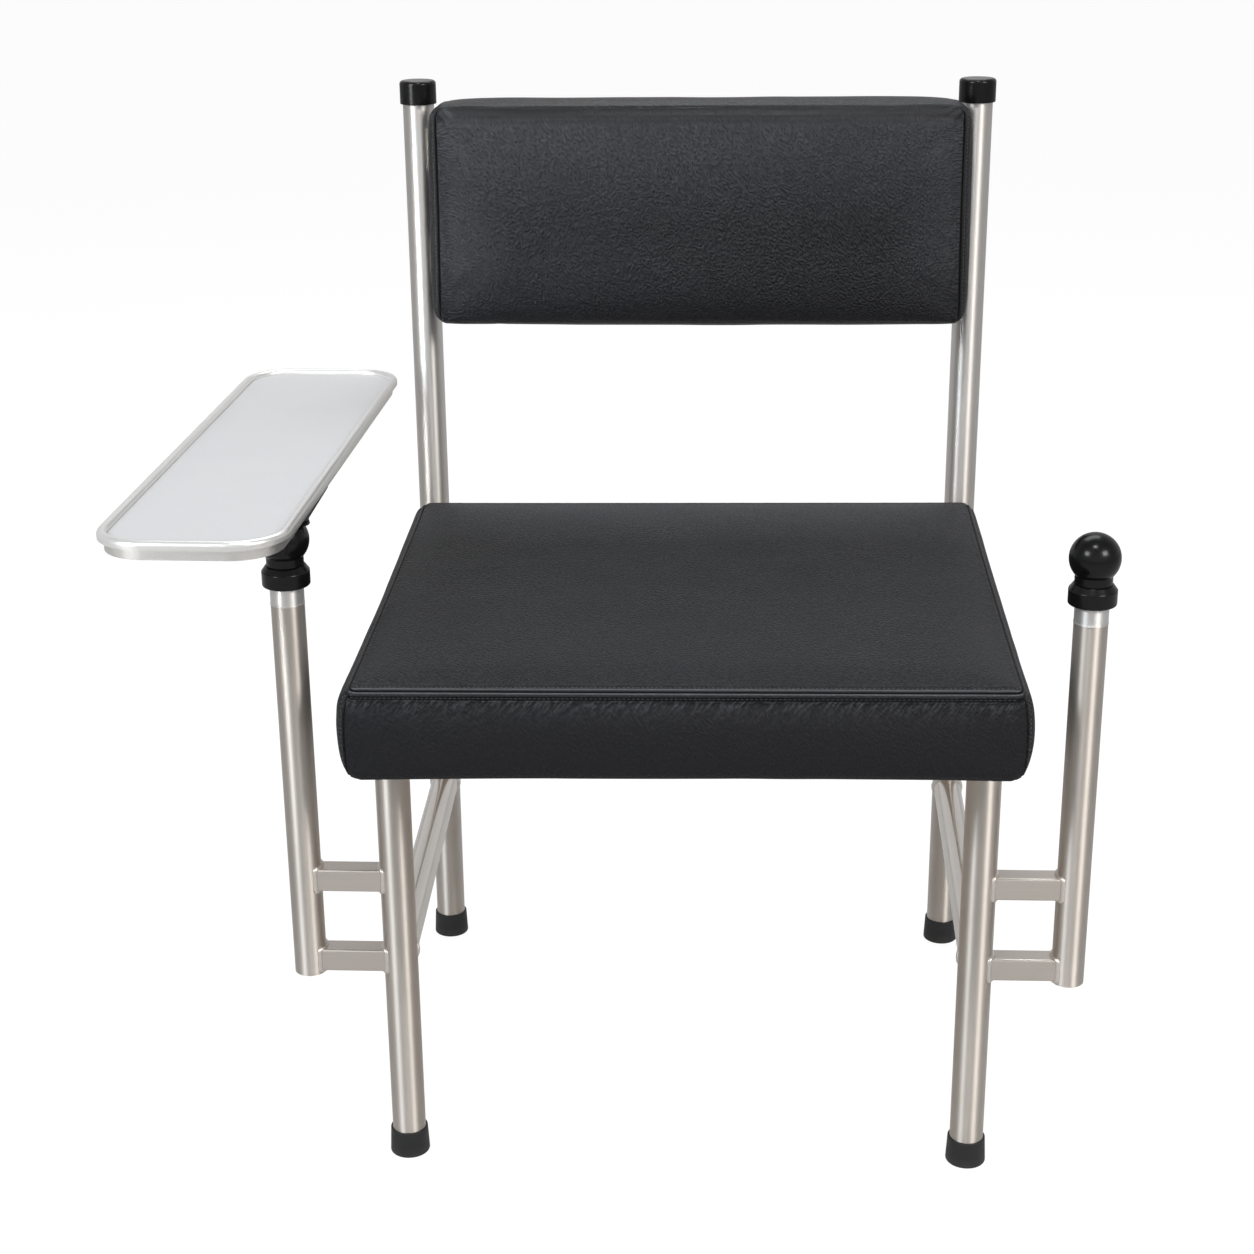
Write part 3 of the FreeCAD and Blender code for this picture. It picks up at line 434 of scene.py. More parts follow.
def normals_of(grid, closed=False):
    """Unit normals of a grid of points (n, m, 3)."""
    du = np.empty_like(grid)
    if closed:
        du = np.roll(grid, -1, 0) - np.roll(grid, 1, 0)
    else:
        du[1:-1] = grid[2:] - grid[:-2]
        du[0], du[-1] = grid[1] - grid[0], grid[-1] - grid[-2]
    dv = np.empty_like(grid)
    dv[:, 1:-1] = grid[:, 2:] - grid[:, :-2]
    dv[:, 0], dv[:, -1] = grid[:, 1] - grid[:, 0], grid[:, -1] - grid[:, -2]
    n = np.cross(du, dv)
    return n / np.maximum(np.linalg.norm(n, axis=2, keepdims=True), 1e-12)


def run_along(grid, axis):
    """Running length in a grid of points along one axis."""
    step = np.linalg.norm(np.diff(grid, axis=axis), axis=2)
    zero = np.zeros_like(np.take(step, [0], axis=axis))
    return np.cumsum(np.concatenate([zero, step], axis=axis), axis=axis)


# ------------------------------------------------------------------ cushions
def ramp(x):
    x = np.clip(x, 0, 1)
    return x * x * (3 - 2 * x)


class Cushion:
    """Sewn box cushion. Local axes: a across, b along, h out of the face. The
    face is a grid inside a seam ring, and the wall hangs from the ring. Sides
    are numbered 0 at low b, 1 at high a, 2 at high b, 3 at low a. Millimetres."""

    def __init__(self, **given):
        self.__dict__.update(given)

    def side_marks(self, fine):
        n = int(round(self.corner / 0.45))
        start = [self.corner / n] * n if fine else [self.corner / 2.0] * 2
        first, zone, growth, coarse = (0.6, self.corner + 3.0, 1.22, self.cell) if fine else (7.0, 12.0, 1.0, 9.0)
        return [steps(2 * half, first, zone, growth, coarse, start) for half in (self.half_a, self.half_b)]

    def ring_side(self, side, s):
        """Points (a, b, h) and outward normals (a, b) of one side, counted from its first corner."""
        length = 2 * (self.half_a if side in (0, 2) else self.half_b)
        ends = np.minimum(s, length - s)
        turn = np.where(ends < self.corner, math.pi / 4 * (1 - ends / self.corner), 0.0)
        lean = np.where(s < length / 2, -turn, turn)  # from the side's own normal towards its ends
        along = np.where(ends < self.corner, self.corner - self.corner * np.sin(turn), ends)
        along = np.where(s < length / 2, along, length - along)
        drop = self.corner * (1 - np.cos(turn))
        t, n = np.sin(lean), np.cos(lean)
        if side == 0:
            a, b, na, nb = -self.half_a + along, -self.half_b + drop, t, -n
        elif side == 1:
            a, b, na, nb = self.half_a - drop, -self.half_b + along, n, t
        elif side == 2:
            a, b, na, nb = self.half_a - along, self.half_b - drop, -t, n
        else:
            a, b, na, nb = -self.half_a + drop, self.half_b - along, -n, -t
        low, high = self.dips
        near = np.exp(-(self.half_a - np.abs(a)) / self.dip_reach)
        b = b + low * near * ramp(-b / self.half_b) - high * near * ramp(b / self.half_b)
        a = a * (1 + self.taper * b / self.half_b)
        bow = self.bow * (1 - (b / self.half_b) ** 2) * (a / self.half_a)
        a = a - bow * (np.abs(a) / self.half_a) ** 8
        h = self.seam_h + self.tilt * b / self.half_b + self.roll * a / self.half_a
        return np.column_stack([a, b, np.broadcast_to(h, a.shape)]), np.column_stack([na, nb]), np.minimum(s, length - s)

    def build(self, fine):
        ma, mb = self.side_marks(fine)
        edge = [self.ring_side(0, ma), self.ring_side(1, mb), self.ring_side(2, ma), self.ring_side(3, mb)]
        c0, c1, c2, c3 = edge[0][0], edge[1][0], edge[2][0][::-1], edge[3][0][::-1]
        u, v = (ma / ma[-1])[:, None, None], (mb / mb[-1])[None, :, None]
        face = ((1 - v) * c0[:, None] + v * c2[:, None] + (1 - u) * c3[None] + u * c1[None]
                - ((1 - u) * (1 - v) * c0[0] + u * (1 - v) * c0[-1] + (1 - u) * v * c2[0] + u * v * c2[-1]))
        da0, da1 = ma[:, None], (ma[-1] - ma)[:, None]
        db0, db1 = mb[None], (mb[-1] - mb)[None]
        g = lambda d, reach: 1 - np.exp(-d / reach)
        reach = self.reach
        lift = self.crown * g(db0, reach[0]) * g(da1, reach[1]) * g(db1, reach[2]) * g(da0, reach[3])
        uu, vv = 2 * ma[:, None] / ma[-1] - 1, 2 * mb[None] / mb[-1] - 1
        lift = lift + self.swell * (1 - uu ** 2) ** 0.7 * (1 - vv ** 2) ** 0.7
        face = face.copy()
        face[:, :, 2] += lift

        # wall: columns round the ring, rows down the profile
        ring = np.concatenate([e[0][:-1] for e in edge])
        normal = np.concatenate([e[1][:-1] for e in edge])
        ends = np.concatenate([e[2][:-1] for e in edge])
        side = np.concatenate([np.full(len(e[0]) - 1, k) for k, e in enumerate(edge)])
        shares = np.zeros((len(ring), 4))
        for k, direction in enumerate(((0, -1), (1, 0), (0, 1), (-1, 0))):
            facing = np.clip(normal @ np.array(direction), 0, 1)
            shares[:, k] = np.clip((np.degrees(np.arcsin(facing))) / 90.0, 0, 1) ** self.share_power
        shares /= shares.sum(1, keepdims=True)
        rows = self.rows(fine)
        tables = [with_length(p) for p in self.profiles]
        walls = []
        for k, table in enumerate(tables):
            walls.append(curve_along(table, rows * table[-1, 0]))
        section = sum(shares[:, k][:, None, None] * walls[k][None] for k in range(4))
        pinch = 1 - self.pinch * np.exp(-ends / self.pinch_reach)
        offset = section[:, :, 0] * np.where(section[:, :, 0] > 0, pinch[:, None], 1.0)
        wall = np.empty((len(ring), len(rows), 3))
        wall[:, :, 0] = ring[:, None, 0] + normal[:, None, 0] * offset
        wall[:, :, 1] = ring[:, None, 1] + normal[:, None, 1] * offset
        sink = section[:, :, 1]
        wall[:, :, 2] = ring[:, None, 2] - sink * (ring[:, None, 2] - self.base_h) / self.depth
        lip = ramp(np.clip((sink - 35) / 30, 0, 1)) * ramp(np.clip((section[:, :, 0] + 22) / 16, 0, 1))
        wall[:, :, 2] += self.base_roll * ring[:, None, 0] / self.half_a * lip
        self.marks = (ma, mb)
        return dict(face=face, wall=wall, ma=ma, mb=mb, rows=rows, side=side, ends=ends, shares=shares, normal=normal)

    def rows(self, fine):
        total = with_length(self.profiles[0])[-1, 0]
        if not fine:
            n = 14
            return np.linspace(0, 1, n)
        marks, step = [0.0], 0.42
        while marks[-1] < total:
            if marks[-1] > 9.0:
                step = min(step * 1.18, self.cell)
            marks.append(marks[-1] + step)
        return np.array(marks[:-1] + [total]) / total

    def to_row(self, grid):
        """Local millimetres to row-frame metres."""
        return self.frame(np.asarray(grid, float)) * MM

    def weave(self, parts):
        """One closed mesh of the face, the wall and the flat inside end of the hem."""
        face, wall = parts["face"], parts["wall"]
        na, nb = face.shape[:2]
        index = np.full((na, nb), -1)
        ring = ([(i, 0) for i in range(na - 1)] + [(na - 1, j) for j in range(nb - 1)]
                + [(i, nb - 1) for i in range(na - 1, 0, -1)] + [(0, j) for j in range(nb - 1, 0, -1)])
        verts = [wall.reshape(-1, 3)]
        nu, nv = wall.shape[:2]
        for k, (i, j) in enumerate(ring):
            index[i, j] = k * nv
        inner = face[1:-1, 1:-1]
        index[1:-1, 1:-1] = nu * nv + np.arange(inner.shape[0] * inner.shape[1]).reshape(inner.shape[:2])
        verts.append(inner.reshape(-1, 3))
        faces = []
        quads = np.stack([index[:-1, :-1], index[1:, :-1], index[1:, 1:], index[:-1, 1:]], -1).reshape(-1, 4)
        faces += quads.tolist()
        grid = np.arange(nu * nv).reshape(nu, nv)
        nxt = np.roll(grid, -1, 0)
        faces += np.stack([grid[:, :-1], grid[:, 1:], nxt[:, 1:], nxt[:, :-1]], -1).reshape(-1, 4).tolist()
        faces.append(grid[:, -1][::-1].tolist())
        return np.concatenate(verts), faces, index, grid

    def inflate(self, parts, name):
        """Blows the coarse cover up as sewn cloth held at its seams; returns how each point moved."""
        verts, faces, index, grid = self.weave(parts)
        rows = self.to_row(verts)
        faces = [f if self.outward else f[::-1] for f in faces]
        obj = mesh_object(name, rows, faces, MATS["leather"])
        held = obj.vertex_groups.new(name="held")
        n_ring, n_rows = grid.shape
        fixed = set()
        for k in range(n_ring):
            for r in range(n_rows):
                if r >= n_rows - 4:
                    fixed.add(int(grid[k, r]))
            if self.seams[int(parts["side"][k])]:
                fixed.add(int(grid[k, 0]))
        for column in self.upright_columns(parts):
            fixed.update(int(i) for i in grid[column])
        held.add(sorted(fixed), 1.0, "REPLACE")
        cloth = obj.modifiers.new("cover", "CLOTH")
        cloth.settings.quality = 6
        cloth.settings.mass = 0.25
        cloth.settings.tension_stiffness = 12
        cloth.settings.compression_stiffness = 12
        cloth.settings.shear_stiffness = 4
        cloth.settings.bending_stiffness = 0.8
        cloth.settings.use_pressure = True
        cloth.settings.uniform_pressure_force = self.pressure
        cloth.settings.vertex_group_mass = "held"
        cloth.settings.effector_weights.gravity = 0
        cloth.collision_settings.use_collision = False
        cloth.point_cache.frame_start, cloth.point_cache.frame_end = 1, 20
        for f in range(1, 21):
            scene.frame_set(f)
        graph = bpy.context.evaluated_depsgraph_get()
        made = obj.evaluated_get(graph)
        co = np.empty(len(made.data.vertices) * 3)
        made.data.vertices.foreach_get("co", co)
        moved = co.reshape(-1, 3) - rows
        bpy.data.objects.remove(obj)
        scene.frame_set(1)
        size = np.linalg.norm(moved, axis=1, keepdims=True)
        limit = self.cap * MM
        moved *= limit * np.tanh(size / limit) / np.maximum(size, 1e-9)
        print(name, "most moved, mm:", round(float(size.max() / MM), 2), "kept", round(float(np.linalg.norm(moved, axis=1).max() / MM), 2))
        face = np.zeros(parts["face"].shape)
        face[:] = moved[index]
        return face, moved[grid]

    def upright_columns(self, parts):
        return []


def smooth_min(a, b, k):
    h = np.clip(0.5 + 0.5 * (b - a) / k, 0, 1)
    return b * (1 - h) + a * h - k * h * (1 - h)


def bell(d, centre, width):
    return np.exp(-((d - centre) / width) ** 2)


def stitches(name, paths, pitch, size, material):
    """Thread loops along paths of (points, normals), metres; one mesh of small closed beads."""
    verts, faces = [], []
    rings = [(-0.5, 0.30), (-0.36, 0.82), (-0.12, 1.0), (0.12, 1.0), (0.36, 0.82), (0.5, 0.30)]
    sides = 6
    for points, normal in paths:
        step = np.linalg.norm(np.diff(points, axis=0), axis=1)
        run = np.concatenate([[0], np.cumsum(step)])
        count = int(run[-1] / pitch)
        for k in range(count):
            at = (k + 0.5) * pitch
            j = min(int(np.searchsorted(run, at)), len(run) - 1)
            j = max(j, 1)
            f = (at - run[j - 1]) / max(run[j] - run[j - 1], 1e-9)
            p = points[j - 1] * (1 - f) + points[j] * f
            n = normal[j - 1] * (1 - f) + normal[j] * f
            ahead, behind = min(j + 1, len(points) - 1), max(j - 2, 0)
            t = points[ahead] - points[behind]
            t = t / max(np.linalg.norm(t), 1e-9)
            n = n - t * (n @ t)
            n = n / max(np.linalg.norm(n), 1e-9)
            b = np.cross(t, n)
            first = len(verts)
            length, thick = size[0], size[1]
            for place, girth in rings:
                middle = p + t * place * length + n * (thick * 0.28 - thick * 1.1 * (place * 2) ** 4)
                for q in range(sides):
                    angle = 2 * math.pi * q / sides
                    verts.append(middle + (b * math.cos(angle) + n * math.sin(angle) * 0.85) * thick * girth)
            for r in range(len(rings) - 1):
                for q in range(sides):
                    a0, a1 = first + r * sides + q, first + r * sides + (q + 1) % sides
                    faces.append((a0, a1, a1 + sides, a0 + sides))
            faces.append(tuple(first + q for q in range(sides))[::-1])
            faces.append(tuple(first + (len(rings) - 1) * sides + q for q in range(sides)))
    return mesh_object(name, verts, faces, material)


def isoline(grid, normal, distance, target, axis):
    """Points of a grid where distance, which grows along axis, reaches target, with their normals."""
    if axis == 0:
        grid, normal, distance = np.swapaxes(grid, 0, 1), np.swapaxes(normal, 0, 1), distance.T
    points, ups = [], []
    for row in range(grid.shape[0]):
        d = distance[row]
        k = int(np.searchsorted(d, target))
        if k <= 0 or k >= len(d):
            continue
        f = (target - d[k - 1]) / max(d[k] - d[k - 1], 1e-12)
        points.append(grid[row, k - 1] * (1 - f) + grid[row, k] * f)
        n = normal[row, k - 1] * (1 - f) + normal[row, k] * f
        ups.append(n / np.linalg.norm(n))
    return np.array(points), np.array(ups)


def seam_face(parts, grid):
    """Distances from each side's seam along the cover, (na, nb, 4)."""
    along_b, along_a = run_along(grid, 1), run_along(grid, 0)
    return np.stack([along_b, along_a[-1:] - along_a, along_b[:, -1:] - along_b, along_a], 2) / MM


def dress(cushion, fine, coarse, moved):
    """Adds the blown-up shape, then seams, channels, puckers and soft dents; returns grids and normals."""
    face, wall = cushion.to_row(fine["face"]), cushion.to_row(fine["wall"])
    if moved is not None:
        dface, dwall = moved
        face = face + resample(resample(dface, coarse["ma"], fine["ma"], 0), coarse["mb"], fine["mb"], 1)
        closed = np.concatenate([dwall, dwall[:1]])
        pieces, start = [], 0
        for k in range(4):
            old = coarse["ma"] if k in (0, 2) else coarse["mb"]
            new = fine["ma"] if k in (0, 2) else fine["mb"]
            pieces.append(resample(closed[start:start + len(old)], old, new, 0)[:-1])
            start += len(old) - 1
        wall = wall + resample(np.concatenate(pieces), coarse["rows"], fine["rows"], 1)
    na, nb = face.shape[:2]
    ring = ([(i, 0) for i in range(na - 1)] + [(na - 1, j) for j in range(nb - 1)]
            + [(i, nb - 1) for i in range(na - 1, 0, -1)] + [(0, j) for j in range(nb - 1, 0, -1)])
    ri, rj = np.array(ring).T
    wall[:, 0] = face[ri, rj]
    n_face, n_wall = normals_of(face), -normals_of(wall, closed=True)
    shared = n_face[ri, rj] + n_wall[:, 0]
    shared /= np.linalg.norm(shared, axis=1, keepdims=True)
    n_face[ri, rj], n_wall[:, 0] = shared, shared

    d_face = seam_face(fine, face)
    d_wall = run_along(wall, 1) / MM
    push_face, push_wall, marks = cushion.relief(fine, face, wall, d_face, d_wall)
    push_wall[:, 0] = push_face[ri, rj]
    fine["marks"] = marks
    return (face + n_face * push_face[:, :, None] * MM, wall + n_wall * push_wall[:, :, None] * MM,
            n_face, n_wall, d_face, d_wall, (ri, rj))


def sewn(cushion, name, node, body):
    fine, coarse = cushion.build(True), cushion.build(False)
    moved = cushion.inflate(coarse, name + "_coarse")
    if moved is None:
        moved = cushion.stand_in(coarse)
    face, wall, n_face, n_wall, d_face, d_wall, ring = dress(cushion, fine, coarse, moved)
    fine["face"], fine["wall"] = face, wall
    verts, faces, index, grid = cushion.weave(fine)
    obj = mesh_object(name, verts, faces, MATS["leather"])
    for mark, (on_face, on_wall) in fine["marks"].items():
        values = np.concatenate([on_wall.reshape(-1), on_face[1:-1, 1:-1].reshape(-1)])
        obj.data.attributes.new(mark, "FLOAT", "POINT").data.foreach_set("value", np.clip(values, 0, 1).astype(np.float32))
    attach(obj, body)
    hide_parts(node)
    print(name, "triangles", sum(len(f) - 2 for f in faces))
    return obj, (face, wall, n_face, n_wall, d_face, d_wall, fine)


def stand_in(self, parts):
    """The swelling of the cover worked out by formula."""
    face, wall = self.to_row(parts["face"]), self.to_row(parts["wall"])
    n_face, n_wall = normals_of(face), -normals_of(wall, closed=True)
    d = seam_face(parts, face)
    grow = np.ones(d.shape[:2])
    for k in range(4):
        if self.seams[k]:
            grow *= 1 - np.exp(-d[:, :, k] / 16.0)
    t = run_along(wall, 1) / MM
    down = np.clip(1 - t / t[:, -4:-3], 0, 1)
    bulge = (1 - np.exp(-t / 12.0)) * (1 - np.exp(-down * 6)) * 0.75
    free = np.array([0.0 if s else 1.0 for s in self.seams])[parts["side"]]
    bulge = np.maximum(bulge, free[:, None] * (1 - np.exp(-down * 6)) * 0.9)
    return n_face * grow[:, :, None] * self.cap * 0.9 * MM, n_wall * bulge[:, :, None] * self.cap * 0.9 * MM


Cushion.stand_in = stand_in


# ---- seat
def slanted(points, angle, pitch, length, seed, across=0, up=2):
    """Wrinkles a pitch apart that run at an angle to the across axis, from -1 to 1."""
    c, sn = math.cos(math.radians(angle)), math.sin(math.radians(angle))
    x, z = points[:, across], points[:, up]
    bend = 0.0012 * lattice_noise(points, 1 / 0.02, seed + 50)
    turned = np.column_stack([(x * c + z * sn) / length, (-x * sn + z * c + bend) / pitch, np.zeros(len(x))])
    return lattice_noise(turned, 1.0, seed)


def seat_relief(c, parts, face, wall, d_face, d_wall):
    lips = lambda d: 1.25 * bell(np.abs(d), 2.3, 1.0) - 1.9 * bell(d, 0, 0.6)
    front_face = lambda d: lips(d) - 1.2 * bell(d, 7.0, 0.85) + 0.5 * bell(d, 9.2, 1.2)
    front_wall = lambda d: lips(d) - 1.9 * bell(d, 5.9, 0.9) + 0.7 * bell(d, 8.2, 1.3)
    plain = lambda d: 0.7 * bell(np.abs(d), 2.1, 1.1) - 1.9 * bell(d, 0, 0.65)
    near = d_face.min(2)
    which = d_face.argmin(2)
    push_face = np.where(which == 0, front_face(near), plain(near))
    # painted shade: dark lines painted in the seams and the stitch channel of the face
    dark_face = np.where(which == 0, bell(near, 0, 0.6) + 0.5 * bell(near, 7.0, 0.6), bell(near, 0, 0.75))
    edge_face = np.exp(-np.minimum(d_face[:, :, 1], d_face[:, :, 3]) / 16.0)
    calm_face = np.where(which == 0, np.clip(1.15 - near / 11.0, 0, 1), np.clip(1.0 - near / 4.0, 0, 1))
    points = face.reshape(-1, 3)
    # pulled stitches on the face side of the front seam and softly everywhere near a seam
    pucker = lattice_noise(points, 1 / 0.0065, 11) + 0.5 * lattice_noise(points, 1 / 0.0034, 12)
    fade = np.exp(-(near / 9.0)) * (1 - np.exp(-near / 1.6))
    push_face = push_face + 0.13 * pucker.reshape(near.shape) * fade
    soft = 0.55 * lattice_noise(points, 1 / 0.115, 13) + 0.42 * lattice_noise(points, 1 / 0.052, 14) + 0.20 * lattice_noise(points, 1 / 0.024, 15)
    push_face = push_face + soft.reshape(near.shape) * (1 - np.exp(-near / 22.0))

    side = parts["side"][:, None]
    push_wall = np.where(side == 0, front_wall(d_wall), plain(d_wall) - 0.9 * bell(d_wall, 4.8, 0.7))
    # painted shade: dark lines painted in the wall's seams and stitch channels
    dark_wall = np.where(side == 0, bell(d_wall, 0, 0.6) + 0.9 * bell(d_wall, 5.9, 0.7), bell(d_wall, 0, 0.75) + 0.5 * bell(d_wall, 4.8, 0.5))
    pts = wall.reshape(-1, 3)
    tall = np.array([1.0, 1.0, 0.45])
    crimp = lattice_noise(pts * tall, 1 / 0.0062, 21) + 0.6 * lattice_noise(pts * tall, 1 / 0.0031, 22)
    streak = slanted(pts, 52.0, 0.0034, 0.011, 25) + 0.5 * slanted(pts, 64.0, 0.0021, 0.007, 26)
    below = np.clip((d_wall - 6.3) / 1.2, 0, 1)
    near_row = below * np.exp(-np.clip(d_wall - 6.8, 0, None) / 6.0)
    push_wall = push_wall + np.where(side == 0, 0.45 * streak.reshape(d_wall.shape) * near_row,
                                     0.22 * crimp.reshape(d_wall.shape) * np.exp(-np.abs(d_wall - 6) / 5.0))
    push_wall = push_wall + np.where(side == 0, 0.10, 0.0) * streak.reshape(d_wall.shape) * np.clip((d_wall - 8) / 6, 0, 1) * np.clip((70 - d_wall) / 30, 0, 1)
    broad = 0.5 * lattice_noise(pts, 1 / 0.075, 23) + 0.3 * lattice_noise(pts * np.array([1, 1, 0.6]), 1 / 0.033, 24)
    push_wall = push_wall + broad.reshape(d_wall.shape) * (1 - np.exp(-d_wall / 14.0)) * np.clip((96 - d_wall) / 20, 0, 1)
    # upright seams in the front, at the corners, each with its row of stitches on the side panel
    step = np.linalg.norm(np.diff(np.concatenate([wall, wall[:1]]), axis=0), axis=2) / MM
    run = np.concatenate([np.zeros((1, wall.shape[1])), np.cumsum(step, 0)])[:-1]
    total = step.sum(0)
    under = np.clip((d_wall - 4.0) / 2.5, 0, 1) * np.clip((86 - d_wall) / 6, 0, 1)
    c.upright = []
    for column, outward in zip(c.joins(parts), (-1.0, 1.0)):
        d = run - run[column]
        d = ((d + total / 2) % total - total / 2) * outward
        push_wall = push_wall + (0.55 * bell(np.abs(d), 2.2, 1.1) - 2.0 * bell(d, 0, 0.8) - 0.7 * bell(d, 5.0, 0.6)) * under
        # painted shade down the upright seams and their stitch rows
        dark_wall = np.maximum(dark_wall, (bell(d, 0, 0.8) + 0.5 * bell(d, 5.0, 0.5)) * under)
        c.upright.append(d)
    calm_wall = np.where(side == 0, np.clip(1.1 - d_wall / 6.5, 0.72, 1), np.clip(1.2 - d_wall / 9.0, 0, 1))
    # painted shade: the front wall below the stitch row is painted darker and made duller
    dull_and_painted_shade_wall = np.where(side == 0, np.clip((d_wall - 7.0) / 7.0, 0, 1), 0.0)
    # where the wrinkles hang under the stitched row; the material paints their crests pale as a painted highlight
    pulled = np.where(side == 0, np.clip((d_wall - 6.6) / 1.4, 0, 1) * np.exp(-np.clip(d_wall - 8.0, 0, None) / 6.5), 0.0)
    marks = dict(groove=(dark_face, dark_wall), edge=(edge_face, np.where(side % 2 == 1, 0.8, 0.0) + np.zeros_like(d_wall)), calm=(calm_face, calm_wall),
                 pull=(np.zeros_like(near), pulled), dull=(np.zeros_like(near), dull_and_painted_shade_wall),
                 # painted highlight: the face is painted paler towards the seat's rear
                 worn=(0.85 * np.clip((150 - d_face[:, :, 2]) / 130, 0, 1), np.zeros_like(d_wall)),
                 # painted highlight on the rolls beside the front seam
                 lip=(np.where(which == 0, bell(near, 2.2, 0.75), 0.0), np.where(side == 0, bell(d_wall, 2.2, 0.75), 0.0)))
    return push_face, push_wall, marks


def seat_joins(parts):
    front = np.where(parts["side"] == 0)[0]
    ends = parts["ends"][front]
    half = len(front) // 2
    left = front[:half][np.argmin(np.abs(ends[:half] - 0.4))]
    right = front[half:][np.argmin(np.abs(ends[half:] - 0.4))]
    return [int(left), int(right)]


seat = Cushion(
    half_a=272.4, half_b=247.4, corner=7.5, cell=4.7, taper=0.004, bow=0.8, dips=(0.0, 0.0), dip_reach=10.0,
    seam_h=493.8, tilt=4.5, roll=1.6, base_roll=2.8, crown=4.4, swell=2.6, reach=(9.0, 8.0, 12.0, 8.0), share_power=1.0,
    base_h=418.1, depth=71.3, pinch=0.10, pinch_reach=12.0, cap=3.2, pressure=3.0,
    seams=(True, True, True, True), outward=True,
    profiles=[
        [(0, 0), (3.4, 3.0), (5.6, 7.6), (7.6, 14.5), (9.2, 26), (10.0, 40), (10.2, 52), (10.1, 60), (9.9, 67.0), (9.0, 72.2), (6.4, 75.2), (1.5, 76.2), (-5, 75.2), (-14, 72.6), (-24, 71.3), (-38, 71.3), (-40, 70.6), (-40, 70.2)],
        [(0, 0), (3.9, 2.2), (7.3, 6.2), (10.0, 14.4), (11.5, 25), (12.0, 33.5), (11.8, 44), (10.5, 54.5), (8.4, 63.0), (5.4, 69.4), (1.2, 73.2), (-5.0, 74.2), (-14, 72.6), (-25, 71.3), (-38, 71.3), (-40, 70.6), (-40, 70.2)],
        [(0, 0), (0.9, 2.4), (1.6, 6.6), (1.9, 14.4), (2.0, 25), (2.0, 33.5), (1.9, 44), (1.4, 54.5), (0.6, 63.0), (-1.4, 68.8), (-5.5, 71.1), (-14, 71.3), (-38, 71.3), (-40, 70.6), (-40, 70.2)],
        [(0, 0), (5.0, 2.2), (9.2, 6.2), (12.0, 14.4), (13.2, 25), (13.7, 33.5), (13.4, 44), (12.3, 54.5), (10.2, 63.0), (7.0, 69.4), (2.4, 73.2), (-4.5, 74.2), (-14, 72.6), (-25, 71.3), (-38, 71.3), (-40, 70.6), (-40, 70.2)],
    ],
    frame=lambda g: g + np.array([49.3, 16.5, 0.0]),
    joins=seat_joins, upright_columns=seat_joins,
)
seat.relief = lambda *a: seat_relief(seat, *a)
seat_obj, seat_cover = sewn(seat, "seat_cover", "seat_cushion", "frame")


def rows_of_thread(name, cover, face_rows, wall_rows, body, extra=()):
    """Stitch lines: face_rows and wall_rows are (side, distance in mm); extra are ready (points, normals)."""
    face, wall, n_face, n_wall, d_face, d_wall, parts = cover
    paths = []
    for side, distance in face_rows:
        axis = 1 if side in (0, 2) else 0
        grid, normal, d = face, n_face, d_face[:, :, side]
        if side == 0:
            grid, normal, d = face, n_face, d
        elif side == 2:
            grid, normal, d = face[:, ::-1], n_face[:, ::-1], d[:, ::-1]
        elif side == 1:
            grid, normal, d = face[::-1], n_face[::-1], d[::-1]
        points, ups = isoline(grid, normal, d, distance, axis)
        other = [k for k in range(4) if k % 2 != side % 2]
        paths.append(trim(points, ups, distance))
    for side, distance in wall_rows:
        cols = np.where(parts["side"] == side)[0]
        points, ups = isoline(wall[cols], n_wall[cols], d_wall[cols], distance, 1)
        paths.append(trim(points, ups, 3.0))
    paths += list(extra)
    obj = stitches(name, [(p, n) for p, n in paths if len(p) > 2], 0.0038, (0.0028, 0.00046), MATS["thread"])
    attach(obj, body)
    return obj


def trim(points, ups, cut):
    """Takes cut millimetres off both ends of a path."""
    run = np.concatenate([[0], np.cumsum(np.linalg.norm(np.diff(points, axis=0), axis=1))])
    keep = (run > cut * MM) & (run < run[-1] - cut * MM)
    return points[keep], ups[keep]


def upright_rows(cushion, cover, away):
    """Stitch rows down the side panels, beside the upright seams."""
    wall, n_wall, d_wall = cover[1], cover[3], cover[5]
    found = []
    for d in cushion.upright:
        points, ups = [], []
        for row in range(wall.shape[1]):
            if not 7.0 < d_wall[0, row] < 74.0:
                continue
            gap = np.abs(d[:, row] - away)
            k = int(gap.argmin())
            points.append(wall[k, row])
            ups.append(n_wall[k, row])
        found.append((np.array(points), np.array(ups)))
    return found


rows_of_thread("seat_stitching", seat_cover, [(0, 7.0)], [(0, 5.9), (1, 4.8), (2, 4.8), (3, 4.8)], "frame", upright_rows(seat, seat_cover, 5.0))


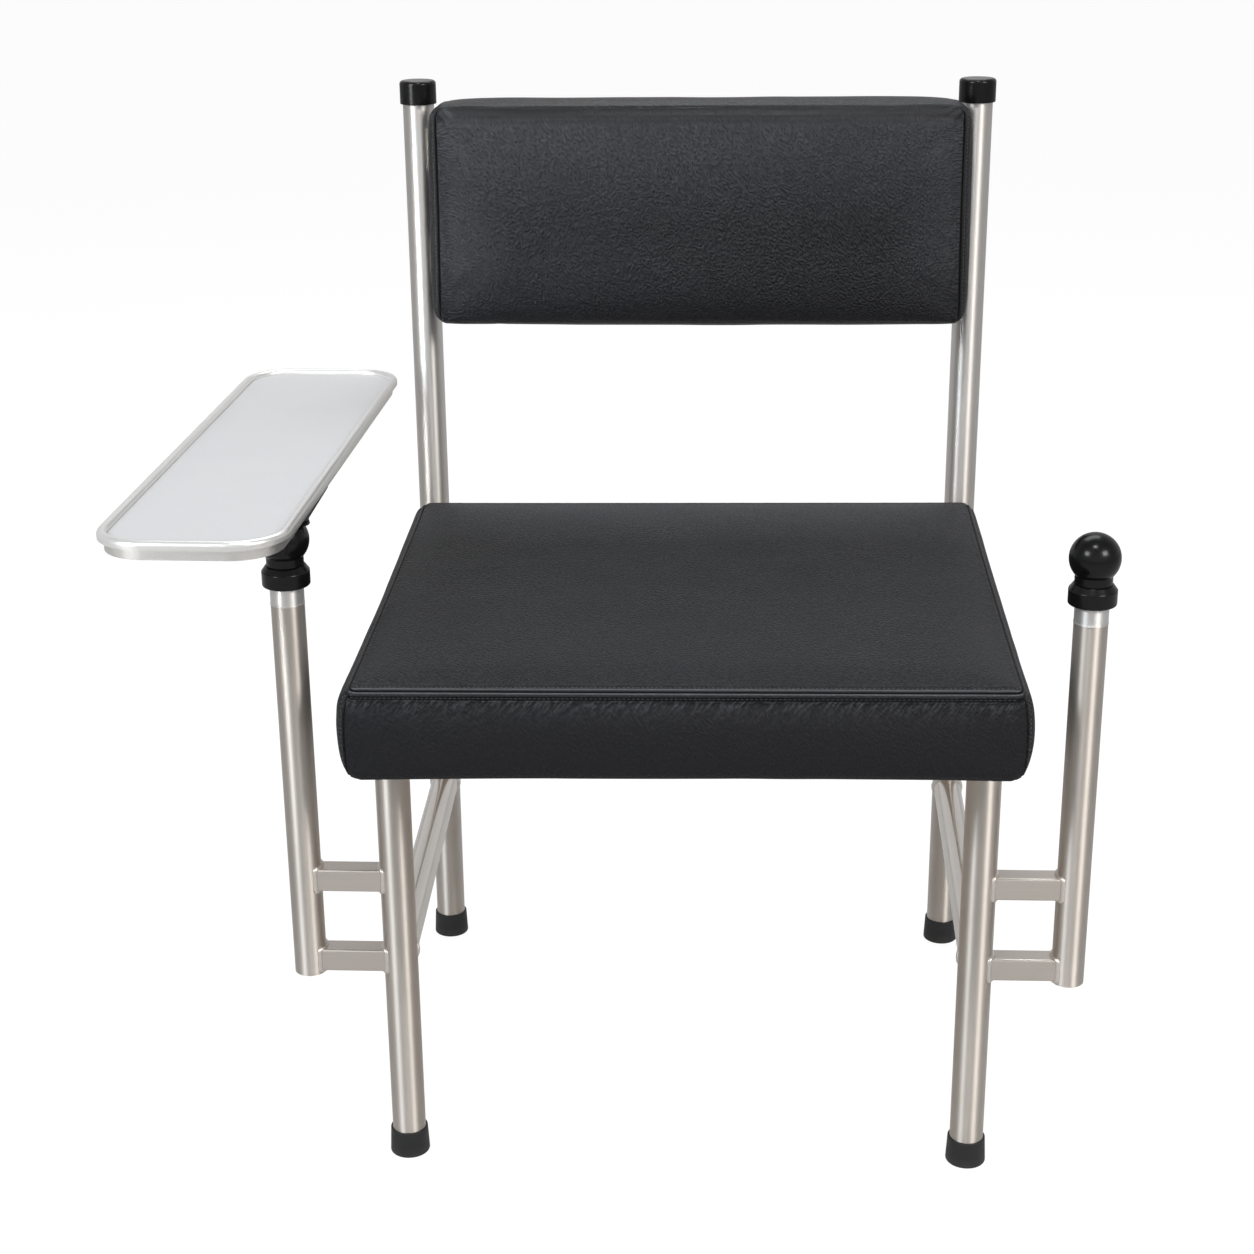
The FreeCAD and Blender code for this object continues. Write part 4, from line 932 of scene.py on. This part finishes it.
# ---- backrest
def back_relief(c, parts, face, wall, d_face, d_wall):
    plain = lambda d: 0.75 * bell(np.abs(d), 2.3, 1.1) - 2.2 * bell(d, 0, 0.75)
    d_side = np.minimum(d_face[:, :, 1], d_face[:, :, 3])
    points = face.reshape(-1, 3)
    top, low = d_face[:, :, 2], d_face[:, :, 0]
    push_face = plain(d_side)
    # painted shade: dark lines painted in the side seams of the face
    dark_face = bell(d_side, 0, 0.8)
    crimp = lattice_noise(points, 1 / 0.0060, 31) + 0.5 * lattice_noise(points, 1 / 0.0031, 32)
    push_face = push_face + 0.14 * crimp.reshape(d_side.shape) * np.exp(-d_side / 8.0) * (1 - np.exp(-d_side / 1.6))
    soft = 0.6 * lattice_noise(points, 1 / 0.095, 33) + 0.42 * lattice_noise(points, 1 / 0.045, 34) + 0.2 * lattice_noise(points, 1 / 0.021, 35)
    push_face = push_face + soft.reshape(d_side.shape) * (1 - np.exp(-d_side / 22.0))
    # a soft fold just under the top edge, and folds fanning from the corners
    push_face = push_face - 0.8 * bell(top, 12.0, 3.0) + 0.4 * bell(top, 18.0, 3.5)
    for away in (d_face[:, :, 1], d_face[:, :, 3]):
        angle = np.arctan2(top + 6.0, away + 3.0)
        reach = np.hypot(top + 6.0, away + 3.0)
        fold = np.sin(angle * 15.0 + 0.7) * np.exp(-((reach - 17.0) / 10.0) ** 2)
        push_face = push_face + 0.55 * fold
        angle = np.arctan2(low + 5.0, away + 3.0)
        reach = np.hypot(low + 5.0, away + 3.0)
        push_face = push_face + 0.35 * np.sin(angle * 13.0 + 2.1) * np.exp(-((reach - 14.0) / 9.0) ** 2)
    edge_face = np.exp(-np.clip(d_side - 10.0, 0, None) / 14.0)
    calm_face = np.maximum(np.clip(1.6 - top / 14.0, 0, 1), np.clip(1.0 - d_side / 5.0, 0, 1))
    calm_face = np.maximum(calm_face, np.clip(1.0 - low / 10.0, 0, 1) * 0.8)

    side = parts["side"][:, None]
    seamed = (side == 1) | (side == 3)
    push_wall = np.where(seamed, plain(d_wall) - 0.7 * bell(d_wall, 4.4, 0.65), 0.0)
    # painted shade: dark lines painted in the wall's side seams and stitch channels
    dark_wall = np.where(seamed, bell(d_wall, 0, 0.8) + 0.5 * bell(d_wall, 4.4, 0.5), 0.0)
    pts = wall.reshape(-1, 3)
    crimp = lattice_noise(pts, 1 / 0.0062, 41) + 0.6 * lattice_noise(pts, 1 / 0.0031, 42)
    push_wall = push_wall + np.where(seamed, 0.2, 0.05) * crimp.reshape(d_wall.shape) * np.exp(-np.abs(d_wall - 5) / 6.0)
    broad = 0.4 * lattice_noise(pts, 1 / 0.07, 43) + 0.25 * lattice_noise(pts, 1 / 0.03, 44)
    push_wall = push_wall + broad.reshape(d_wall.shape) * (1 - np.exp(-d_wall / 12.0)) * np.clip((58 - d_wall) / 12, 0, 1)
    calm_wall = np.where(seamed, np.clip(1.3 - d_wall / 12.0, 0, 1), 0.9 + np.zeros_like(d_wall))
    # painted highlight: the face is painted paler towards the top edge and the sides
    painted_highlight_face = np.maximum(np.clip((112 - top) / 72, 0, 1), 0.6 * np.clip((80 - d_side) / 45, 0, 1) * np.clip(low / 60, 0, 1))
    # painted shade: the face is painted darker and made duller towards the lower edge
    dull_and_painted_shade_face = 0.7 * np.clip((60 - low) / 45, 0, 1)
    marks = dict(groove=(dark_face, dark_wall), edge=(edge_face, np.where(seamed, 0.0, 0.0) + np.zeros_like(d_wall)), calm=(calm_face, calm_wall),
                 worn=(painted_highlight_face, np.zeros_like(d_wall)), dull=(dull_and_painted_shade_face, np.zeros_like(d_wall)))
    return push_face, push_wall, marks


back = Cushion(
    half_a=248.4, half_b=101.8, corner=7.0, cell=3.2, taper=-0.005, bow=0.6, dips=(0.3, 3.2), dip_reach=9.0,
    seam_h=47.5, tilt=0.0, roll=0.0, base_roll=0.0, crown=8.6, swell=6.8, reach=(10.0, 18.0, 18.0, 18.0), share_power=1.0,
    base_h=0.0, depth=47.5, pinch=0.4, pinch_reach=10.0, cap=1.6, pressure=3.0,
    seams=(False, True, False, True), outward=True,
    profiles=[
        [(0, 0), (2.4, 3), (4.0, 7.5), (4.6, 13), (4.7, 26), (4.5, 36), (3.7, 43), (1.8, 46.5), (-2, 47.5), (-14, 47.5), (-38, 47.5), (-40, 46.7), (-40, 46.1)],
        [(0, 0), (3.6, 1.6), (6.6, 5), (8.8, 11), (9.9, 18), (10.1, 26), (9.2, 35), (6.8, 42), (3.4, 46.2), (-0.8, 47.3), (-8, 47.5), (-38, 47.5), (-40, 46.7), (-40, 46.1)],
        [(0, 0), (2.2, 2.6), (3.4, 7.0), (3.9, 12), (4.0, 22), (3.9, 33), (3.5, 40), (2.4, 45), (-0.4, 47.1), (-4, 47.5), (-14, 47.5), (-38, 47.5), (-40, 46.7), (-40, 46.1)],
        [(0, 0), (3.6, 1.6), (6.6, 5), (8.8, 11), (9.9, 18), (10.1, 26), (9.2, 35), (6.8, 42), (3.4, 46.2), (-0.8, 47.3), (-8, 47.5), (-38, 47.5), (-40, 46.7), (-40, 46.1)],
    ],
    frame=lambda g: np.stack([g[..., 0] + BACK_X, 268.1 - g[..., 2], g[..., 1] + 795.2], -1),
    upright_columns=lambda parts: [],
)
BACK_X = 53.0
back.relief = lambda *a: back_relief(back, *a)
back_obj, back_cover = sewn(back, "backrest_cover", "back_cushion", "frame")
rows_of_thread("backrest_stitching", back_cover, [], [(1, 4.4), (3, 4.4)], "frame")


# ------------------------------------------------------------------ weld beads
def tube_on(name, path, material, ripple=0.07, seed=1, closed=True):
    """A bead along a closed path of (point, radius)."""
    sides, n = 10, len(path)
    verts, faces = [], []
    points = np.array([p for p, r in path])
    for k in range(n):
        t = points[(k + 1) % n] - points[k - 1]
        t /= np.linalg.norm(t)
        centre = points.mean(0)
        out = points[k] - centre
        out -= t * (out @ t)
        out /= np.linalg.norm(out)
        b = np.cross(t, out)
        r = path[k][1] * (1 + ripple * math.sin(k * 1.9 + seed) * 0.5 + ripple * float(lattice_noise(points[k:k + 1], 900, seed)[0]))
        for q in range(sides):
            a = 2 * math.pi * q / sides
            verts.append(points[k] + (out * math.cos(a) + b * math.sin(a)) * r)
    for k in range(n):
        for q in range(sides):
            a, b2 = k * sides + q, k * sides + (q + 1) % sides
            c, d = ((k + 1) % n) * sides + (q + 1) % sides, ((k + 1) % n) * sides + q
            faces.append((a, d, c, b2))
    return verts, faces


def section_loop(shape, count=72):
    """Points (p, q) round a round ("round", r) or box ("box", wide, tall, corner) section."""
    if shape[0] == "round":
        return [(shape[1] * math.cos(a), shape[1] * math.sin(a)) for a in np.linspace(0, 2 * math.pi, count, endpoint=False)]
    wide, tall, r = shape[1] / 2, shape[2] / 2, shape[3]
    raw = []
    for cx, cy, start in ((wide - r, tall - r, 0), (-(wide - r), tall - r, 90), (-(wide - r), -(tall - r), 180), (wide - r, -(tall - r), 270)):
        for a in np.radians(np.linspace(start, start + 90, 7)):
            raw.append((cx + r * math.cos(a), cy + r * math.sin(a)))
    raw = np.array(raw + raw[:1])
    run = np.concatenate([[0], np.cumsum(np.hypot(*np.diff(raw, axis=0).T))])
    at = np.linspace(0, run[-1], count, endpoint=False)
    return list(zip(np.interp(at, run, raw[:, 0]), np.interp(at, run, raw[:, 1])))


def weld_path(shape, start, direction, axis_point, radius, bead, across, up, axis=(0, 0, 1)):
    """Where a bar of that section, coming from start along direction, meets a round tube."""
    direction = np.array(direction, float)
    direction /= np.linalg.norm(direction)
    axis = np.array(axis, float)
    path = []
    for p, q in section_loop(shape):
        origin = np.array(start) + np.array(across) * p + np.array(up) * q
        o = origin - np.array(axis_point)
        o -= axis * (o @ axis)
        d = direction - axis * (direction @ axis)
        a, b, c = d @ d, 2 * (o @ d), o @ o - radius ** 2
        disc = max(b * b - 4 * a * c, 0.0)
        t = (-b - math.sqrt(disc)) / (2 * a)
        path.append((origin + direction * t, bead))
    return path


WELDS = []
LEG_X, UP_X, POST_X = (-0.2045, 0.3035), (-0.2185, 0.3175), (-0.2857, 0.3847)
FRONT_Y, REAR_Y = -0.14245, 0.28395
for s, sign in ((0, 1.0), (1, -1.0)):
    # links between the leg and the arm post: sign points from the post to the leg
    for low, high in ((0.188, 0.209), (0.2665, 0.2875)):
        mid = (low + high) / 2
        middle = ((LEG_X[s] + POST_X[s]) / 2, FRONT_Y, mid)
        shape = ("box", 0.020, high - low, 0.0022)
        WELDS.append(weld_path(shape, middle, (sign, 0, 0), (LEG_X[s], FRONT_Y, 0), 0.015, 0.0023, (0, 1, 0), (0, 0, 1)))
        WELDS.append(weld_path(shape, middle, (-sign, 0, 0), (POST_X[s], FRONT_Y, 0), 0.0143, 0.0023, (0, 1, 0), (0, 0, 1)))
    rear = np.array((UP_X[s], REAR_Y, 0.181))
    front = np.array((LEG_X[s], FRONT_Y, 0.203))
    run = front - rear
    run /= np.linalg.norm(run)
    up = np.cross(np.array((1.0, 0, 0)), run)
    up = up if up[2] > 0 else -up
    up /= np.linalg.norm(up)
    across = np.cross(run, up)
    middle = (rear + front) / 2
    WELDS.append(weld_path(("round", 0.0141), middle, run, (LEG_X[s], FRONT_Y, 0), 0.015, 0.0024, across, up))
    WELDS.append(weld_path(("round", 0.0141), middle, -run, (UP_X[s], REAR_Y, 0), 0.015, 0.0024, across, up))

verts, faces = [], []
for k, path in enumerate(WELDS):
    v, f = tube_on("weld", path, None, seed=k)
    base = len(verts)
    verts += v
    faces += [tuple(i + base for i in q) for q in f]
welds = mesh_object("weld_beads", verts, faces, MATS["weld"])
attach(welds, "frame")


# ------------------------------------------------------------------ staples under the seat
def staple(verts, faces, centre, along, wire=0.0006, length=0.010, up=(0, 0, -1)):
    """A flat wire bridge that bites into the hem at both ends."""
    centre, along, up = np.array(centre), np.array(along, float), np.array(up, float)
    side = np.cross(along, up)
    path = [(-0.5, -0.0010), (-0.5, 0.0003), (-0.46, 0.0006), (0.46, 0.0006), (0.5, 0.0003), (0.5, -0.0010)]
    base = len(verts)
    for f, h in path:
        p = centre + along * f * length + up * h
        for q in range(6):
            a = 2 * math.pi * q / 6
            verts.append(p + side * math.cos(a) * wire + up * math.sin(a) * wire * 0.6)
    n = len(path)
    for k in range(n - 1):
        for q in range(6):
            a, b = base + k * 6 + q, base + k * 6 + (q + 1) % 6
            faces.append((a, b, b + 6, a + 6))
    faces.append(tuple(base + q for q in range(6))[::-1])
    faces.append(tuple(base + (n - 1) * 6 + q for q in range(6)))


verts, faces = [], []
jitter = lambda k: 0.0018 * math.sin(k * 12.9898 + 4.1)
for k in range(13):
    x = 0.0495 + (k - 6) * 0.034 + jitter(k)
    staple(verts, faces, (x, 0.0136 - 0.2135 + jitter(k + 3), 0.4181), (1, 0.12 * jitter(k) * 100, 0))
    staple(verts, faces, (x + jitter(k + 5), 0.0136 + 0.2150 + jitter(k + 9), 0.4181), (1, 0.1 * jitter(k + 2) * 100, 0))
for k in range(11):
    y = 0.0136 + (k - 5) * 0.036 + jitter(k + 20)
    for sign in (-1, 1):
        if abs(y - FRONT_Y) > 0.018:
            staple(verts, faces, (0.0495 + sign * (0.2345 + jitter(k + 31)), y, 0.4181), (0.1 * jitter(k + 6) * 100, 1, 0))
staples = mesh_object("hem_staples", verts, faces, MATS["screw"])
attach(staples, "frame")


# ------------------------------------------------------------------ stage
def glowing(name, strength, colour=(1.0, 1.0, 1.0), base=None):
    """White stage surface that gives off an even light, over a matt base where one is given."""
    t = Tree(name)
    fine = t.noise(t.coords, 3.0, 2.0, 0.5)
    tone = t.mix(fine, tuple(c * 0.998 for c in colour), colour)
    if base is None:
        emit = t.node("ShaderNodeEmission", Color=tone, Strength=strength)
        t.tree.links.new(emit.outputs[0], t.out.inputs[0])
    else:
        t.set(Base__Color=t.mix(fine, tuple(c * 0.996 for c in base), base), Roughness=0.7, Specular__IOR__Level=0.0)
        t.set(Emission__Color=tone, Emission__Strength=strength)
    return t.mat


def sheet_of(name, half, z, material):
    obj = mesh_object(name, [(-half, -half, z), (half, -half, z), (half, half, z), (-half, half, z)], [(0, 1, 2, 3)], material, smooth=False)
    return obj


# the floor that is looked at catches the shadows; the one just under it lights the chair from below
floor = sheet_of("floor", 60.0, 0.0, glowing("floor_white", 0.89, base=(0.20, 0.20, 0.20)))
under = sheet_of("floor_bounce", 60.0, -0.0004, glowing("floor_grey", 0.22, base=(0.36, 0.355, 0.35)))
under.visible_camera = False
for ray in ("diffuse", "glossy", "transmission", "shadow"):
    setattr(floor, "visible_" + ray, False)

glow_mat = glowing("backdrop_white", 1.0)
rings, segs, radius = 14, 48, 55.0
verts, faces = [], []
for r in range(rings + 1):
    tilt = -0.02 + (math.pi / 2 + 0.02) * r / rings
    for k in range(segs):
        a = 2 * math.pi * k / segs
        verts.append((radius * math.cos(tilt) * math.cos(a), radius * math.cos(tilt) * math.sin(a), radius * math.sin(tilt)))
for r in range(rings):
    for k in range(segs):
        a, b = r * segs + k, r * segs + (k + 1) % segs
        faces.append((a, a + segs, b + segs, b))
dome = mesh_object("backdrop", verts, faces, glow_mat)
for ray in ("diffuse", "glossy", "transmission", "volume_scatter", "shadow"):
    setattr(dome, "visible_" + ray, False)

world = bpy.data.worlds.new("studio")
scene.world = world
world.use_nodes = True
wt = world.node_tree
wt.nodes.clear()
w_out = wt.nodes.new("ShaderNodeOutputWorld")
w_back = wt.nodes.new("ShaderNodeBackground")
wt.links.new(w_back.outputs[0], w_out.inputs[0])
w_coord = wt.nodes.new("ShaderNodeTexCoord")
w_sep = wt.nodes.new("ShaderNodeSeparateXYZ")
wt.links.new(w_coord.outputs["Generated"], w_sep.inputs[0])
w_up = wt.nodes.new("ShaderNodeValToRGB")
wt.links.new(w_sep.outputs["Z"], w_up.inputs[0])
for element, (place, tone) in zip(w_up.color_ramp.elements, ((0.0, 1.0), (1.0, 0.62))):
    element.position = place
    element.color = (tone, tone, tone * 1.01, 1.0)
w_half = wt.nodes.new("ShaderNodeMapRange")
wt.links.new(w_sep.outputs["Y"], w_half.inputs["Value"])
w_half.inputs["From Min"].default_value = -1.0
w_front = wt.nodes.new("ShaderNodeValToRGB")
wt.links.new(w_half.outputs[0], w_front.inputs[0])
w_front.color_ramp.elements.new(0.5)
for element, (place, tone) in zip(w_front.color_ramp.elements, ((0.0, 0.76), (0.45, 0.42), (1.0, 0.68))):
    element.position = place
    element.color = (tone, tone, tone, 1.0)
wt.links.new(w_up.outputs[0], w_back.inputs[0])
wt.links.new(w_front.outputs[0], w_back.inputs[1])


def softbox(name, azimuth, elevation, distance, size, power, colour, aim=(0.05, 0.02, 0.5), spread=180):
    """Square soft light; azimuth is counted from the front (-Y) towards +X."""
    a, e = math.radians(azimuth), math.radians(elevation)
    aim = Vector(aim)
    place = aim + distance * Vector((math.sin(a) * math.cos(e), -math.cos(a) * math.cos(e), math.sin(e)))
    data = bpy.data.lights.new(name, "AREA")
    data.shape = "RECTANGLE"
    data.size, data.size_y = size
    data.energy = power
    data.spread = math.radians(spread)
    data.color = colour
    obj = bpy.data.objects.new(name, data)
    scene.collection.objects.link(obj)
    obj.location = place
    obj.rotation_euler = (aim - place).to_track_quat("-Z", "Y").to_euler()
    obj.visible_camera = False
    return obj


softbox("left_box", -44, 32, 3.0, (0.95, 0.75), 34, (0.91, 0.96, 1.0))
softbox("right_box", 44, 30, 3.0, (0.95, 0.75), 35, (1.0, 0.965, 0.92))
softbox("top_box", 3, 66, 3.0, (0.5, 0.4), 18, (0.97, 0.985, 1.0))
softbox("rear_top_box", 180, 60, 3.0, (2.2, 1.2), 29, (0.97, 0.985, 1.0))
softbox("low_left_box", -38, 4, 1.5, (0.5, 0.4), 0.45, (0.96, 0.985, 1.0), (-0.2185, 0.28, 0.68), 24)

camera_data = bpy.data.cameras.new("camera")
camera = bpy.data.objects.new("camera", camera_data)
scene.collection.objects.link(camera)
pitch, yaw, roll = math.radians(20.0), math.radians(-2.89), math.radians(0.55)
look = Vector((math.sin(yaw) * math.cos(pitch), math.cos(yaw) * math.cos(pitch), -math.sin(pitch)))
right = Vector((math.cos(yaw), -math.sin(yaw), 0.0))
down = look.cross(right)
r2 = right * math.cos(roll) + down * math.sin(roll)
d2 = down * math.cos(roll) - right * math.sin(roll)
turn = Matrix((r2, -d2, -look)).transposed().to_4x4()
camera.matrix_world = Matrix.Translation((0.0870, -1.86895, 1.1417)) @ turn
camera_data.lens = 63.025
camera_data.sensor_width = 36.0
camera_data.clip_end = 300.0
scene.camera = camera
scene.view_settings.view_transform = "Standard"
scene.view_settings.look = "None"

bpy.context.view_layer.update()
